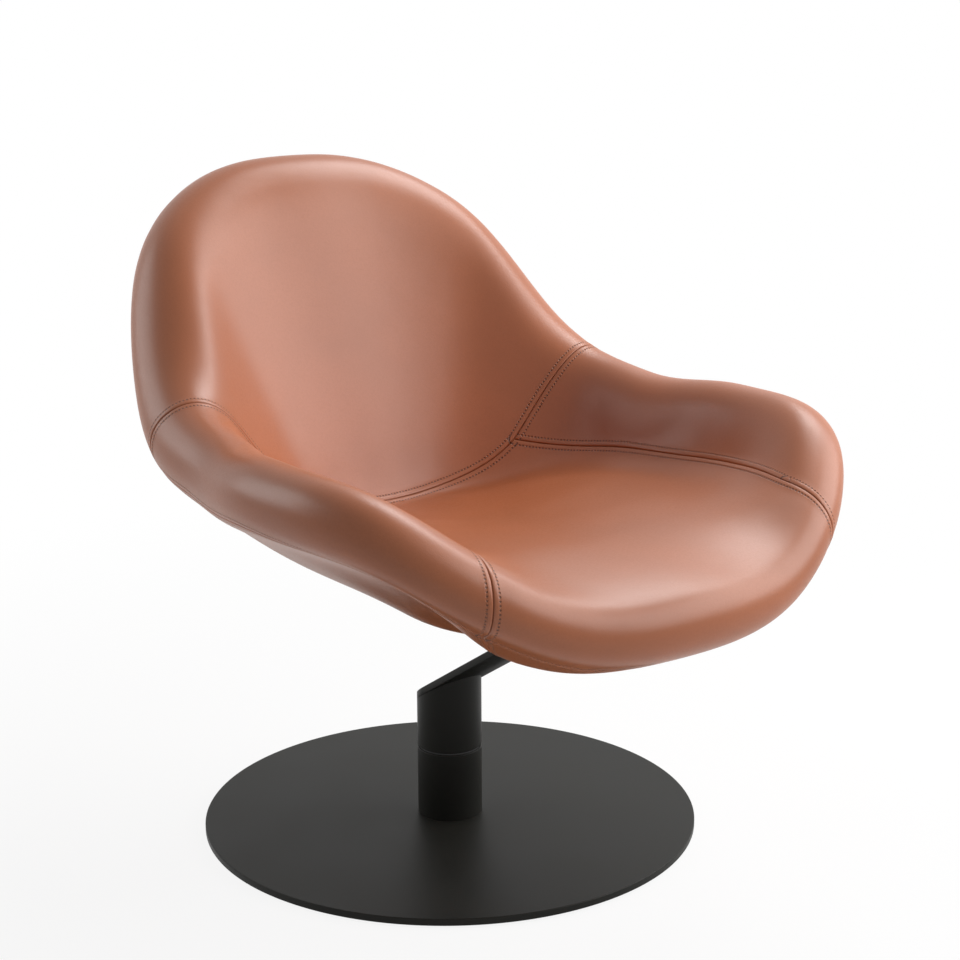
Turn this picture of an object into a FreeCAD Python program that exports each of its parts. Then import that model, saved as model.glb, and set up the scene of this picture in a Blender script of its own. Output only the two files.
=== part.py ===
"""Swivel armchair: an upholstered bucket on an offset bracket, a swivel column and a round foot plate.

Millimetres, +Z up. The origin is on the column's axis at the floor, and the chair faces -Y.
Two bodies: what stands still (foot plate, lower tube, spindle) and what turns on the spindle.
"""
import FreeCAD, Part
import Sketcher
import math
import os

Vector = FreeCAD.Vector
doc = FreeCAD.newDocument("swivel_armchair")

# Sizes: every driving dimension, in millimetres, degrees or a plain count
SIZES = [
    ("glide_count", 12, "felt glides round the foot plate, besides the one in its middle"),
    ("glide_diameter", 24, "one felt glide"),
    ("glide_height", 2, "felt thickness, the gap below the foot plate"),
    ("glide_inset", 20, "glide centres in from the plate's edge"),
    ("foot_diameter", 580, "round steel foot plate"),
    ("foot_thickness", 8, "foot plate"),
    ("foot_edge", 1, "broken edge of the foot plate"),
    ("tube_diameter", 76, "column tube, outside"),
    ("tube_wall", 4, "column tube wall"),
    ("tube_edge", 0.8, "broken edges beside the swivel groove"),
    ("lower_tube_height", 82, "lower column tube"),
    ("groove_height", 2.4, "swivel groove between the two tubes"),
    ("groove_depth", 2, "how far the thrust ring stands back in the groove"),
    ("weld_gap", 0.1, "a plug in its tube, on the radius"),
    ("thread_gap", 0.1, "a screw in its thread or hole, on the radius"),
    ("press_gap", 0.01, "a bush in its hub, on the radius"),
    ("running_gap", 0.03, "the spindle in its bushes, on the radius"),
    ("end_gap", 0.05, "end float of the swivel"),
    ("foot_plug_height", 16, "steel plug in the foot of the lower tube"),
    ("foot_screw_circle", 50, "circle of the foot screws"),
    ("foot_screw_length", 20, "foot screws"),
    ("foot_screw_count", 4, "foot screws"),
    ("screw_diameter", 8, "all screws"),
    ("screw_head", 15.6, "countersunk heads"),
    ("screw_head_height", 4, "countersunk heads"),
    ("spindle_diameter", 25, "fixed spindle"),
    ("spindle_thread", 20, "threaded top of the spindle"),
    ("spindle_edge", 1, "broken edges of the spindle"),
    ("spindle_tip", 2, "thread showing above the lock nut"),
    ("lower_hub_height", 24, "steel hub at the top of the lower tube"),
    ("upper_hub_height", 30, "steel hub at the foot of the upper tube"),
    ("bush_wall", 3.5, "swivel bushes"),
    ("bush_length", 12, "swivel bushes"),
    ("bush_flange", 44, "flange of a bush"),
    ("bush_flange_height", 2, "flange of a bush"),
    ("retaining_washer_diameter", 42, "washer under the lock nut"),
    ("retaining_washer_height", 3, "washer under the lock nut"),
    ("lock_nut_width", 30, "lock nut across flats"),
    ("lock_nut_height", 10, "lock nut"),
    ("bracket_tilt", 32, "the bracket rises to the front at this angle"),
    ("bracket_thickness", 8, "bracket plate"),
    ("bracket_axis_height", 162.6, "bracket underside above the floor, on the column's axis"),
    ("bracket_reach", 300, "longest the bracket could be, before its bevelled end"),
    ("mount_plate_width", 180, "plate under the seat shell, across"),
    ("mount_plate_front", 140, "mount plate, forward of the seat's pole"),
    ("mount_plate_rear", 75, "mount plate, behind the seat's pole"),
    ("mount_plate_thickness", 6, "mount plate"),
    ("mount_plate_height", 303, "mount plate underside above the floor, at the seat's pole"),
    ("mount_screw_across", 140, "mount screws, between left and right"),
    ("mount_screw_along", 130, "mount screws, between front and rear"),
    ("mount_screw_length", 54, "mount screws"),
    ("sleeve_diameter", 24, "spacer sleeves between mount plate and shell"),
    ("sleeve_height", 33, "spacer sleeves"),
    ("tee_nut_flange", 22, "tee nuts in the shell"),
    ("tee_nut_flange_height", 1.6, "tee nuts in the shell"),
    ("tee_nut_barrel", 11, "tee nuts in the shell"),
    ("shell_thickness", 10, "moulded seat shell"),
    ("shell_flat", 142, "radius at which the shell's flat middle turns up"),
    ("shell_knee", 24, "run of that turn, each way"),
    ("shell_setback", 8, "shell edge back from the middle of the padded rim"),
    ("shell_depth", 0.42, "place of the shell's bend between the inside and the outside, a share"),
    ("shell_bend", 30, "run of the shell's bend, each way"),
    ("shell_gap", 0.3, "foam to shell"),
    ("leather", 2, "leather with its backing"),
    ("leather_gap", 0.3, "leather to foam"),
    ("pocket_gap", 1, "foam round the steel parts"),
    ("seat_pole_back", 116, "seat's pole forward of the column's axis"),
    ("seat_height", 388, "seat surface above the floor, at the pole"),
    ("seat_rise", 0.085, "the seat rises to the front by this much per millimetre"),
    ("seat_disc", 12, "radius of the level spot at the seat's pole"),
    ("under_height", 290, "underside above the floor"),
    ("under_disc", 110, "radius of the flat belly under the seat"),
    ("section_step", 6, "angle between two sections"),
    ("seam_corner_out", 167, "where the seat, arm and back panels meet, off the middle"),
    ("seam_corner_back", 90, "the same point behind the column's axis"),
    ("seam_crease_back", 124, "middle of the crease between seat and back"),
    ("seam_shoulder_out", 330, "arm and back seam at the rim, off the middle"),
    ("seam_shoulder_back", 106, "arm and back seam at the rim"),
    ("seam_wide_out", 253, "widest point of the seat panel"),
    ("seam_wide_front", 112, "widest point of the seat panel"),
    ("seam_narrow_out", 210, "narrowest point of the seat panel"),
    ("seam_narrow_front", 330, "narrowest point of the seat panel"),
    ("seam_front_out", 226, "arm and seat seam at the front rim"),
    ("seam_gap", 0.3, "between two panels at a seam"),
    ("knife_height", 900, "upright walls that part the panels, higher and longer than the bucket"),
]

# The bucket's shape: half-plane sections round the seat's pole, from the front (0) to the back (180).
# Each gives the middle of the padded rim (out, up) and its rounding, the bend between seat and wall,
# the bend between wall and underside, the runs of the two bends and the perimeter seam below the rim.
FIELDS = ["angle", "rim_out", "rim_up", "rim_round", "bend_out", "bend_up",
          "belly_out", "belly_up", "bend_run", "belly_run", "seam_drop"]
SECTIONS = [
    ("front", [0, 283, 352, 39, 201, 405, 222, 283, 74, 42, 26]),
    ("front_quarter", [30, 305, 370, 35, 226, 411, 212, 289, 74, 48, 24]),
    ("front_corner", [58, 337, 460, 34, 247, 418, 195, 315, 62, 62, 18]),
    ("arm", [85, 316, 472, 39, 251, 416, 188, 348, 52, 62, 16]),
    ("arm_rear", [110, 309, 465, 43, 244, 407, 226, 352, 46, 62, 16]),
    ("shoulder", [132, 373, 511, 38, 244, 388, 263, 346, 36, 62, 16]),
    ("upper_shoulder", [150, 430, 652, 37, 244, 369, 295, 345, 24, 62, 18]),
    ("crown_side", [166, 443, 712, 40, 241, 362, 321, 346, 20, 62, 20]),
    ("crown", [180, 438, 724, 39, 238, 360, 337, 348, 20, 62, 20]),
]

sheet = doc.addObject("Spreadsheet::Sheet", "Sizes")
cells = [(alias, value, meaning) for alias, value, meaning in SIZES]
for section_name, values in SECTIONS:
    cells += [(section_name + "_" + field, value, field) for field, value in zip(FIELDS, values)]
for row, (alias, value, meaning) in enumerate(cells, start=1):
    sheet.set("A%d" % row, str(value))
    sheet.setAlias("A%d" % row, alias)
    sheet.set("B%d" % row, meaning)
doc.recompute()
references = {alias: "Sizes." + alias for alias, value, meaning in cells}


def bound(formula):
    """A formula with {size} names as an expression over the sheet."""
    return formula.format_map(references)


def value_of(formula):
    """A formula with {size} names as a number."""
    return float(sheet.evalExpression(bound(formula)))


def size(name):
    """A driving dimension as a number."""
    return float(sheet.get(name))


sub_parts = []


def keep(obj, label):
    """Name a finished sub-part."""
    obj.Label = label
    sub_parts.append(obj)
    return obj


# Heights and radii that several pieces share, as formulas over the sheet
FOOT_TOP = "({glide_height} + {foot_thickness})"
TUBE_RADIUS = "({tube_diameter} / 2)"
BORE_RADIUS = "({tube_diameter} / 2 - {tube_wall})"
PLUG_RADIUS = "({tube_diameter} / 2 - {tube_wall} - {weld_gap})"
GROOVE_LOW = "({glide_height} + {foot_thickness} + {lower_tube_height})"
GROOVE_TOP = "({glide_height} + {foot_thickness} + {lower_tube_height} + {groove_height})"
SPINDLE_RADIUS = "({spindle_diameter} / 2)"
THREAD_RADIUS = "({spindle_thread} / 2)"
BUSH_BORE = "({spindle_diameter} / 2 + {running_gap})"
BUSH_RADIUS = "({spindle_diameter} / 2 + {running_gap} + {bush_wall})"
HUB_LOW = "(" + GROOVE_TOP + " + {end_gap})"
HUB_TOP = "(" + GROOVE_TOP + " + {end_gap} + {upper_hub_height})"
SHOULDER = "(" + GROOVE_TOP + " + 2 * {end_gap} + {upper_hub_height})"
SCREW_RADIUS = "({screw_diameter} / 2)"
HEAD_RADIUS = "({screw_head} / 2)"
TILT = "{bracket_tilt}"
# Tools that cut a piece reach past it on every side
BEYOND_TUBE = "({tube_diameter} * 4)"
BEYOND_PLATE = "({mount_plate_width} * 2)"
BEYOND_BRACKET = "({bracket_reach} * 3)"
BEYOND_HEIGHT = "({mount_plate_height} * 2)"
SEAT_TILT = "atan({seat_rise})"


def origin_plane(body, role):
    """One of a body's own origin planes."""
    for feature in body.Origin.OriginFeatures:
        if feature.Role == role:
            return feature
    raise ValueError(role)


def turned(label, outline):
    """A body turned about Z from a closed half outline of (radius, height) formulas."""
    body = doc.addObject("PartDesign::Body", label + "_body")
    sketch = body.newObject("Sketcher::SketchObject", label + "_outline")
    sketch.AttachmentSupport = [(origin_plane(body, "XZ_Plane"), "")]
    sketch.MapMode = "FlatFace"
    count = len(outline)
    corners = [Vector(value_of(radius), value_of(height), 0) for radius, height in outline]
    for index in range(count):
        sketch.addGeometry(Part.LineSegment(corners[index], corners[(index + 1) % count]), False)
    for index in range(count):
        sketch.addConstraint(Sketcher.Constraint("Coincident", index, 2, (index + 1) % count, 1))
    for index, formulas in enumerate(outline):
        for kind, formula in zip(("DistanceX", "DistanceY"), formulas):
            number = sketch.addConstraint(
                Sketcher.Constraint(kind, -1, 1, index, 1, value_of(formula)))
            sketch.setExpression("Constraints[%d]" % number, bound(formula))
    turn = body.newObject("PartDesign::Revolution", label + "_turn")
    turn.Profile = sketch
    turn.ReferenceAxis = (sketch, ["V_Axis"])
    turn.Angle = 360
    body.Tip = turn
    return body


def drilled(body, circle_radius, hole_radius, count):
    """Holes round Z through a turned body."""
    sketch = body.newObject("Sketcher::SketchObject", body.Name + "_hole")
    sketch.AttachmentSupport = [(origin_plane(body, "XY_Plane"), "")]
    sketch.MapMode = "FlatFace"
    sketch.addGeometry(Part.Circle(Vector(value_of(circle_radius), 0, 0), Vector(0, 0, 1),
                                   value_of(hole_radius)), False)
    sketch.addConstraint(Sketcher.Constraint("PointOnObject", 0, 3, -1))
    number = sketch.addConstraint(
        Sketcher.Constraint("DistanceX", -1, 1, 0, 3, value_of(circle_radius)))
    sketch.setExpression("Constraints[%d]" % number, bound(circle_radius))
    number = sketch.addConstraint(Sketcher.Constraint("Radius", 0, value_of(hole_radius)))
    sketch.setExpression("Constraints[%d]" % number, bound(hole_radius))
    hole = body.newObject("PartDesign::Pocket", body.Name + "_drill")
    hole.Profile = sketch
    hole.Type = "ThroughAll"
    hole.Midplane = True
    pattern = body.newObject("PartDesign::PolarPattern", body.Name + "_round")
    pattern.Originals = [hole]
    pattern.Axis = (sketch, ["N_Axis"])
    pattern.Angle = 360
    pattern.setExpression("Occurrences", bound(count))
    body.Tip = pattern
    return body


def cylinder(name, radius, height, base=("0", "0", "0")):
    """A cylinder along Z with its sizes and place bound to the sheet."""
    obj = doc.addObject("Part::Cylinder", name)
    obj.setExpression("Radius", bound(radius))
    obj.setExpression("Height", bound(height))
    for axis, formula in zip("xyz", base):
        obj.setExpression("Placement.Base." + axis, bound(formula))
    return obj


def cone(name, low_radius, top_radius, height, base=("0", "0", "0")):
    """A cone along Z with its sizes and place bound to the sheet."""
    obj = doc.addObject("Part::Cone", name)
    obj.setExpression("Radius1", bound(low_radius))
    obj.setExpression("Radius2", bound(top_radius))
    obj.setExpression("Height", bound(height))
    for axis, formula in zip("xyz", base):
        obj.setExpression("Placement.Base." + axis, bound(formula))
    return obj


def box(name, length, width, height, base=("0", "0", "0")):
    """A box with its sizes and low corner bound to the sheet."""
    obj = doc.addObject("Part::Box", name)
    for side, formula in zip(("Length", "Width", "Height"), (length, width, height)):
        obj.setExpression(side, bound(formula))
    for axis, formula in zip("xyz", base):
        obj.setExpression("Placement.Base." + axis, bound(formula))
    return obj


def joined(name, shapes):
    """Several solids fused into one."""
    obj = doc.addObject("Part::MultiFuse", name)
    obj.Shapes = shapes
    return obj


def cut(name, base, tool):
    """One solid with another taken away."""
    obj = doc.addObject("Part::Cut", name)
    obj.Base = base
    obj.Tool = tool
    return obj


def common(name, shapes):
    """What several solids share."""
    obj = doc.addObject("Part::MultiCommon", name)
    obj.Shapes = shapes
    return obj


def group(name, shapes):
    """Like solids kept side by side in one sub-part."""
    obj = doc.addObject("Part::Compound", name)
    obj.Links = shapes
    return obj


def foot_screw_place(index):
    """Where a foot screw's head starts."""
    angle = "%d * 360 / {foot_screw_count}" % index
    return ("{foot_screw_circle} / 2 * cos(" + angle + ")",
            "{foot_screw_circle} / 2 * sin(" + angle + ")", "{glide_height}")


# What stands still
def foot_plate():
    edge = "{foot_edge}"
    rim = "({foot_diameter} / 2)"
    low = "{glide_height}"
    body = turned("foot_plate", [
        ("0", low),
        (rim + " - " + edge, low),
        (rim, low + " + " + edge),
        (rim, FOOT_TOP + " - " + edge),
        (rim + " - " + edge, FOOT_TOP),
        ("0", FOOT_TOP)])
    drilled(body, "{foot_screw_circle} / 2", "{screw_diameter} / 2 + {thread_gap}", "{foot_screw_count}")
    sinks = []
    for index in range(int(size("foot_screw_count"))):
        sinks.append(cone("foot_sink_%d" % index, HEAD_RADIUS + " + {thread_gap}", SCREW_RADIUS + " + {thread_gap}",
                          "{screw_head_height}", foot_screw_place(index)))
    return keep(cut("foot_plate_cut", body, joined("foot_sinks", sinks)), "foot_plate")


def floor_glides():
    pads = [cylinder("middle_glide", "{glide_diameter} / 2", "{glide_height}")]
    count = int(size("glide_count"))
    for index in range(count):
        angle = "%d * 360 / {glide_count}" % index
        reach = "({foot_diameter} / 2 - {glide_inset})"
        pads.append(cylinder("glide_%d" % index, "{glide_diameter} / 2", "{glide_height}",
                             (reach + " * cos(" + angle + ")", reach + " * sin(" + angle + ")", "0")))
    return keep(group("floor_glides_set", pads), "floor_glides")


def foot_plug():
    top = FOOT_TOP + " + {foot_plug_height}"
    bore = SPINDLE_RADIUS + " + {press_gap}"
    body = turned("foot_plug", [(bore, FOOT_TOP), (PLUG_RADIUS, FOOT_TOP), (PLUG_RADIUS, top), (bore, top)])
    drilled(body, "{foot_screw_circle} / 2", "{screw_diameter} / 2 + {thread_gap}", "{foot_screw_count}")
    return keep(body, "foot_plug")


def foot_screws():
    screws = []
    for index in range(int(size("foot_screw_count"))):
        place = foot_screw_place(index)
        head = cone("foot_screw_head_%d" % index, HEAD_RADIUS, SCREW_RADIUS, "{screw_head_height}", place)
        shank = cylinder("foot_screw_shank_%d" % index, SCREW_RADIUS, "{foot_screw_length}", place)
        screws.append(joined("foot_screw_%d" % index, [head, shank]))
    return keep(group("foot_screws_set", screws), "foot_screws")


def column_lower():
    edge = "{tube_edge}"
    body = turned("column_lower", [
        (BORE_RADIUS, FOOT_TOP),
        (TUBE_RADIUS, FOOT_TOP),
        (TUBE_RADIUS, GROOVE_LOW + " - " + edge),
        (TUBE_RADIUS + " - " + edge, GROOVE_LOW),
        (BORE_RADIUS, GROOVE_LOW)])
    return keep(body, "column_lower")


def lower_hub():
    low = GROOVE_LOW + " - {lower_hub_height}"
    bore = SPINDLE_RADIUS + " + {press_gap}"
    body = turned("lower_hub", [(bore, low), (PLUG_RADIUS, low), (PLUG_RADIUS, GROOVE_LOW), (bore, GROOVE_LOW)])
    return keep(body, "lower_hub")


def spindle():
    edge = "{spindle_edge}"
    low = FOOT_TOP + " + " + edge
    top = SHOULDER + " + {retaining_washer_height} + {lock_nut_height} + {spindle_tip}"
    body = turned("spindle", [
        ("0", FOOT_TOP),
        (SPINDLE_RADIUS + " - " + edge, FOOT_TOP),
        (SPINDLE_RADIUS, low),
        (SPINDLE_RADIUS, SHOULDER),
        (THREAD_RADIUS, SHOULDER),
        (THREAD_RADIUS, top + " - " + edge),
        (THREAD_RADIUS + " - " + edge, top),
        ("0", top)])
    return keep(body, "spindle")


def thrust_ring():
    outer = TUBE_RADIUS + " - {groove_depth}"
    bore = SPINDLE_RADIUS + " + {running_gap}"
    body = turned("thrust_ring", [(bore, GROOVE_LOW), (outer, GROOVE_LOW), (outer, GROOVE_TOP), (bore, GROOVE_TOP)])
    return keep(body, "thrust_ring")


def retaining_washer():
    outer = "{retaining_washer_diameter} / 2"
    bore = THREAD_RADIUS + " + {thread_gap}"
    top = SHOULDER + " + {retaining_washer_height}"
    body = turned("retaining_washer", [(bore, SHOULDER), (outer, SHOULDER), (outer, top), (bore, top)])
    return keep(body, "retaining_washer")


def lock_nut():
    low = SHOULDER + " + {retaining_washer_height}"
    prism = doc.addObject("Part::Prism", "lock_nut_hexagon")
    prism.Polygon = 6
    prism.setExpression("Circumradius", bound("{lock_nut_width} / 2 / cos(30)"))
    prism.setExpression("Height", bound("{lock_nut_height}"))
    prism.setExpression("Placement.Base.z", bound(low))
    bore = cylinder("lock_nut_bore", THREAD_RADIUS + " + {thread_gap}", "{lock_nut_height}", ("0", "0", low))
    return keep(cut("lock_nut_cut", prism, bore), "lock_nut")


# What turns
def column_upper():
    """The upper tube, cut off under the tilted bracket."""
    edge = "{tube_edge}"
    top = "{bracket_axis_height} + {tube_diameter}"
    body = turned("column_upper_tube", [
        (BORE_RADIUS, HUB_LOW),
        (TUBE_RADIUS + " - " + edge, HUB_LOW),
        (TUBE_RADIUS, HUB_LOW + " + " + edge),
        (TUBE_RADIUS, top),
        (BORE_RADIUS, top)])
    return keep(cut("column_upper_cut", body, tilted_block("tube_trim")), "column_upper")


def tilted_block(name, lift="0", height=BEYOND_TUBE):
    """A block on the bracket's underside plane, or lifted square off it."""
    reach = "{bracket_reach}"
    block = box(name, BEYOND_TUBE, "2 * " + reach, height)
    rise = "(" + lift + " * cos(" + TILT + "))"
    block.setExpression("Placement.Base.x", bound("-" + BEYOND_TUBE + " / 2"))
    block.setExpression("Placement.Base.y", bound(
        "-" + reach + " * cos(" + TILT + ") + " + lift + " * sin(" + TILT + ")"))
    block.setExpression("Placement.Base.z", bound(
        "{bracket_axis_height} + " + reach + " * sin(" + TILT + ") + " + rise))
    block.Placement.Rotation = FreeCAD.Rotation(Vector(1, 0, 0), -size("bracket_tilt"))
    block.setExpression("Placement.Rotation.Axis.x", "1")
    block.setExpression("Placement.Rotation.Axis.y", "0")
    block.setExpression("Placement.Rotation.Axis.z", "0")
    block.setExpression("Placement.Rotation.Angle", bound("-" + TILT))
    return block


def on_seat_frame(obj, across="0", along="0", lift="0"):
    """Place an upright solid square on the mount plate's underside, from the seat's pole."""
    obj.setExpression("Placement.Rotation.Axis.x", "1")
    obj.setExpression("Placement.Rotation.Axis.y", "0")
    obj.setExpression("Placement.Rotation.Axis.z", "0")
    obj.setExpression("Placement.Rotation.Angle", bound("-" + SEAT_TILT))
    obj.setExpression("Placement.Base.x", bound(across))
    obj.setExpression("Placement.Base.y", bound(
        "-{seat_pole_back} + (" + along + ") * cos(" + SEAT_TILT + ") + (" + lift + ") * sin(" + SEAT_TILT + ")"))
    obj.setExpression("Placement.Base.z", bound(
        "{mount_plate_height} - (" + along + ") * sin(" + SEAT_TILT + ") + (" + lift + ") * cos(" + SEAT_TILT + ")"))
    return obj


def above_mount_plate(name, lift="0"):
    """All that is above the mount plate's underside, or lifted off it."""
    block = box(name, BEYOND_PLATE, BEYOND_BRACKET, BEYOND_HEIGHT)
    return on_seat_frame(block, "-" + BEYOND_PLATE + " / 2", "-" + BEYOND_BRACKET + " / 2", lift)


def bracket_plate():
    """The tilted strip: round at the column, bevelled under the mount plate."""
    strip = box("bracket_strip", "{tube_diameter}", "{bracket_reach}", BEYOND_HEIGHT,
                ("-{tube_diameter} / 2", "-{bracket_reach}", "0"))
    round_end = cylinder("bracket_round_end", TUBE_RADIUS, BEYOND_HEIGHT)
    slab = tilted_block("bracket_slab", height="{bracket_thickness}")
    above = above_mount_plate("bracket_bevel")
    whole = common("bracket_tilted", [joined("bracket_outline", [strip, round_end]), slab])
    return keep(cut("bracket_cut", whole, above), "bracket_plate")


def upper_hub():
    """Steel hub with a counterbored seat for a flanged bush at each end."""
    inner = BUSH_RADIUS + " + {press_gap}"
    flange = "{bush_flange} / 2 + {thread_gap}"
    step = "{bush_flange_height}"
    body = turned("upper_hub", [
        (inner, HUB_LOW + " + " + step),
        (flange, HUB_LOW + " + " + step),
        (flange, HUB_LOW),
        (PLUG_RADIUS, HUB_LOW),
        (PLUG_RADIUS, HUB_TOP),
        (flange, HUB_TOP),
        (flange, HUB_TOP + " - " + step),
        (inner, HUB_TOP + " - " + step)])
    return keep(body, "upper_hub")


def bush(label, end, inward):
    """A flanged bush: the flange at one end of the hub, the sleeve inside it."""
    sleeve_end = end + inward + "{bush_length}"
    flange_end = end + inward + "{bush_flange_height}"
    body = turned(label, [
        (BUSH_BORE, end),
        ("{bush_flange} / 2", end),
        ("{bush_flange} / 2", flange_end),
        (BUSH_RADIUS, flange_end),
        (BUSH_RADIUS, sleeve_end),
        (BUSH_BORE, sleeve_end)])
    return keep(body, label)


MOUNT_PLACES = [(across, along) for across in ("-", "") for along in ("-", "")]


def mount_place(signs):
    """Where one mount screw stands on the mount plate."""
    across, along = signs
    return across + "{mount_screw_across} / 2", along + "{mount_screw_along} / 2"


def mount_plate():
    slab = box("mount_slab", "{mount_plate_width}", "{mount_plate_front} + {mount_plate_rear}",
               "{mount_plate_thickness}")
    on_seat_frame(slab, "-{mount_plate_width} / 2", "-{mount_plate_front}")
    holes = []
    for index, signs in enumerate(MOUNT_PLACES):
        across, along = mount_place(signs)
        hole = cylinder("mount_hole_%d" % index, SCREW_RADIUS + " + {thread_gap}", "{mount_plate_thickness}")
        sink = cone("mount_sink_%d" % index, HEAD_RADIUS + " + {thread_gap}", SCREW_RADIUS + " + {thread_gap}",
                    "{screw_head_height}")
        holes += [on_seat_frame(hole, across, along), on_seat_frame(sink, across, along)]
    return keep(cut("mount_plate_cut", slab, joined("mount_holes", holes)), "mount_plate")


def mount_screws():
    screws = []
    for index, signs in enumerate(MOUNT_PLACES):
        across, along = mount_place(signs)
        head = cone("mount_screw_head_%d" % index, HEAD_RADIUS, SCREW_RADIUS, "{screw_head_height}")
        shank = cylinder("mount_screw_shank_%d" % index, SCREW_RADIUS, "{mount_screw_length}")
        on_seat_frame(head, across, along)
        on_seat_frame(shank, across, along)
        screws.append(joined("mount_screw_%d" % index, [head, shank]))
    return keep(group("mount_screws_set", screws), "mount_screws")


def spacer_sleeves():
    sleeves = []
    for index, signs in enumerate(MOUNT_PLACES):
        across, along = mount_place(signs)
        outer = cylinder("sleeve_outer_%d" % index, "{sleeve_diameter} / 2", "{sleeve_height}")
        bore = cylinder("sleeve_bore_%d" % index, SCREW_RADIUS + " + {thread_gap}", "{sleeve_height}")
        for obj in (outer, bore):
            on_seat_frame(obj, across, along, "{mount_plate_thickness}")
        sleeves.append(cut("sleeve_%d" % index, outer, bore))
    return keep(group("spacer_sleeves_set", sleeves), "spacer_sleeves")


SHELL_UNDER = "{mount_plate_thickness} + {sleeve_height}"


def tee_nuts():
    nuts = []
    for index, signs in enumerate(MOUNT_PLACES):
        across, along = mount_place(signs)
        barrel = cylinder("tee_barrel_%d" % index, "{tee_nut_barrel} / 2",
                          "{shell_thickness} + {tee_nut_flange_height}")
        flange = cylinder("tee_flange_%d" % index, "{tee_nut_flange} / 2", "{tee_nut_flange_height}")
        bore = cylinder("tee_bore_%d" % index, SCREW_RADIUS + " + {thread_gap}",
                        "{shell_thickness} + {tee_nut_flange_height}")
        for obj in (barrel, bore):
            on_seat_frame(obj, across, along, SHELL_UNDER)
        on_seat_frame(flange, across, along, SHELL_UNDER + " + {shell_thickness}")
        nuts.append(cut("tee_nut_%d" % index, joined("tee_whole_%d" % index, [barrel, flange]), bore))
    return keep(group("tee_nuts_set", nuts), "tee_nuts")


# The bucket. A section's points are complex numbers: out from the pole plus up times 1j.
rows = [[size(name + "_" + field) for field in FIELDS] for name, values in SECTIONS]
pole = Vector(0, -size("seat_pole_back"), 0)
PINCH = 0.9
ARC_BOW = 0.002
SAME_POINT = 0.01
NO_TURN = 1e-9
END_SHARES = (1 / 24, 1 / 12, 1 / 6, 1 / 3, 2 / 3)


def section_values(angle):
    """The section's values at an angle: a smooth curve through the rows, level at both ends."""
    turn = abs((angle + 180) % 360 - 180)
    angles = [row[0] for row in rows]
    last = len(rows) - 1
    k = max(index for index in range(last) if angles[index] <= turn)
    step = angles[k + 1] - angles[k]
    w = (turn - angles[k]) / step
    values = {}
    for column, field in enumerate(FIELDS):
        ups = [row[column] for row in rows]
        slopes = []
        for index in (k, k + 1):
            if index in (0, last):
                slopes.append(0)
                continue
            before = angles[index] - angles[index - 1]
            after = angles[index + 1] - angles[index]
            rise_before = (ups[index] - ups[index - 1]) / before
            rise_after = (ups[index + 1] - ups[index]) / after
            slopes.append((after * rise_before + before * rise_after) / (before + after))
        values[field] = (ups[k] * (1 + 2 * w) * (1 - w) ** 2 + slopes[0] * step * w * (1 - w) ** 2
                         + ups[k + 1] * w * w * (3 - 2 * w) - slopes[1] * step * w * w * (1 - w))
    return values


def unit(v):
    return v / abs(v)


def polar(radius, angle):
    return complex(radius * math.cos(angle), radius * math.sin(angle))


def phase(v):
    return math.atan2(v.imag, v.real)


def turn_between(u, v):
    """The turn from one direction to the next, positive to the left."""
    return phase(v / u)


def moved_corner(corner, u, v, left):
    """A path's corner after the path moved to its left by the same distance before and behind it."""
    return corner + 1j * unit(u + v) * left / math.cos(turn_between(u, v) / 2)


def run_at(start, corner, end, run):
    """A bend's run, kept within both of its sides."""
    return min(run, PINCH * abs(corner - start), PINCH * abs(end - corner))


def bend(corner, u, v, run):
    """The three points of a bend's arc."""
    turn = abs(turn_between(u, v))
    inward = (v - u) / max(abs(v - u), NO_TURN)
    return corner - u * run, corner + inward * run * math.tan(turn / 4), corner + v * run


def bucket_points(angle, inset):
    """The outline's points at an angle, moved in by the inset."""
    c = section_values(angle)
    level = math.cos(math.radians(angle))
    seat = complex(size("seat_disc"), size("seat_height") + size("seat_rise") * size("seat_disc") * level)
    under = complex(size("under_disc"), size("under_height"))
    rim = complex(c["rim_out"], c["rim_up"])
    radius = c["rim_round"]
    inner = complex(c["bend_out"], c["bend_up"])
    belly = complex(c["belly_out"], c["belly_up"])
    inside = unit(rim - inner) * polar(1, math.asin(radius / abs(rim - inner)))
    inside_end = inner + inside * math.sqrt(abs(rim - inner) ** 2 - radius ** 2)
    outside = -unit(rim - belly) * polar(1, -math.asin(radius / abs(rim - belly)))
    outside_start = belly - outside * math.sqrt(abs(rim - belly) ** 2 - radius ** 2)
    sitting = unit(inner - seat)
    resting = unit(under - belly)
    seam = outside_start + outside * c["seam_drop"]
    seam_inside = seam - 1j * outside * inset
    first = phase(inside_end - rim)
    sweep = (first - phase(outside_start - rim)) % (2 * math.pi)
    inner_turn = turn_between(sitting, inside)
    belly_turn = turn_between(outside, resting)
    inner_run = run_at(seat, inner, inside_end, c["bend_run"]) + inset * math.tan(inner_turn / 2)
    belly_run = run_at(seam, belly, under, c["belly_run"]) + inset * math.tan(belly_turn / 2)
    new_inner = moved_corner(inner, sitting, inside, -inset)
    new_belly = moved_corner(belly, outside, resting, -inset)
    return {
        "seat": seat - 1j * inset,
        "inner": bend(new_inner, sitting, inside, inner_run),
        "rim": [rim + polar(radius - inset, first - sweep * part / 4) for part in range(5)],
        "seam": seam_inside,
        "seam_past": seam_inside + outside * size("seam_gap"),
        "belly": bend(new_belly, outside, resting, belly_run),
        "under": under + 1j * inset}


def upper_path(p):
    """From the seat's pole over the rim to the seam, as runs of 2 or 3 points."""
    rim = p["rim"]
    return [(p["seat"], p["inner"][0]), p["inner"], (p["inner"][2], rim[0]),
            (rim[0], rim[1], rim[2]), (rim[2], rim[3], rim[4]), (rim[4], p["seam"])]


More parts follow.
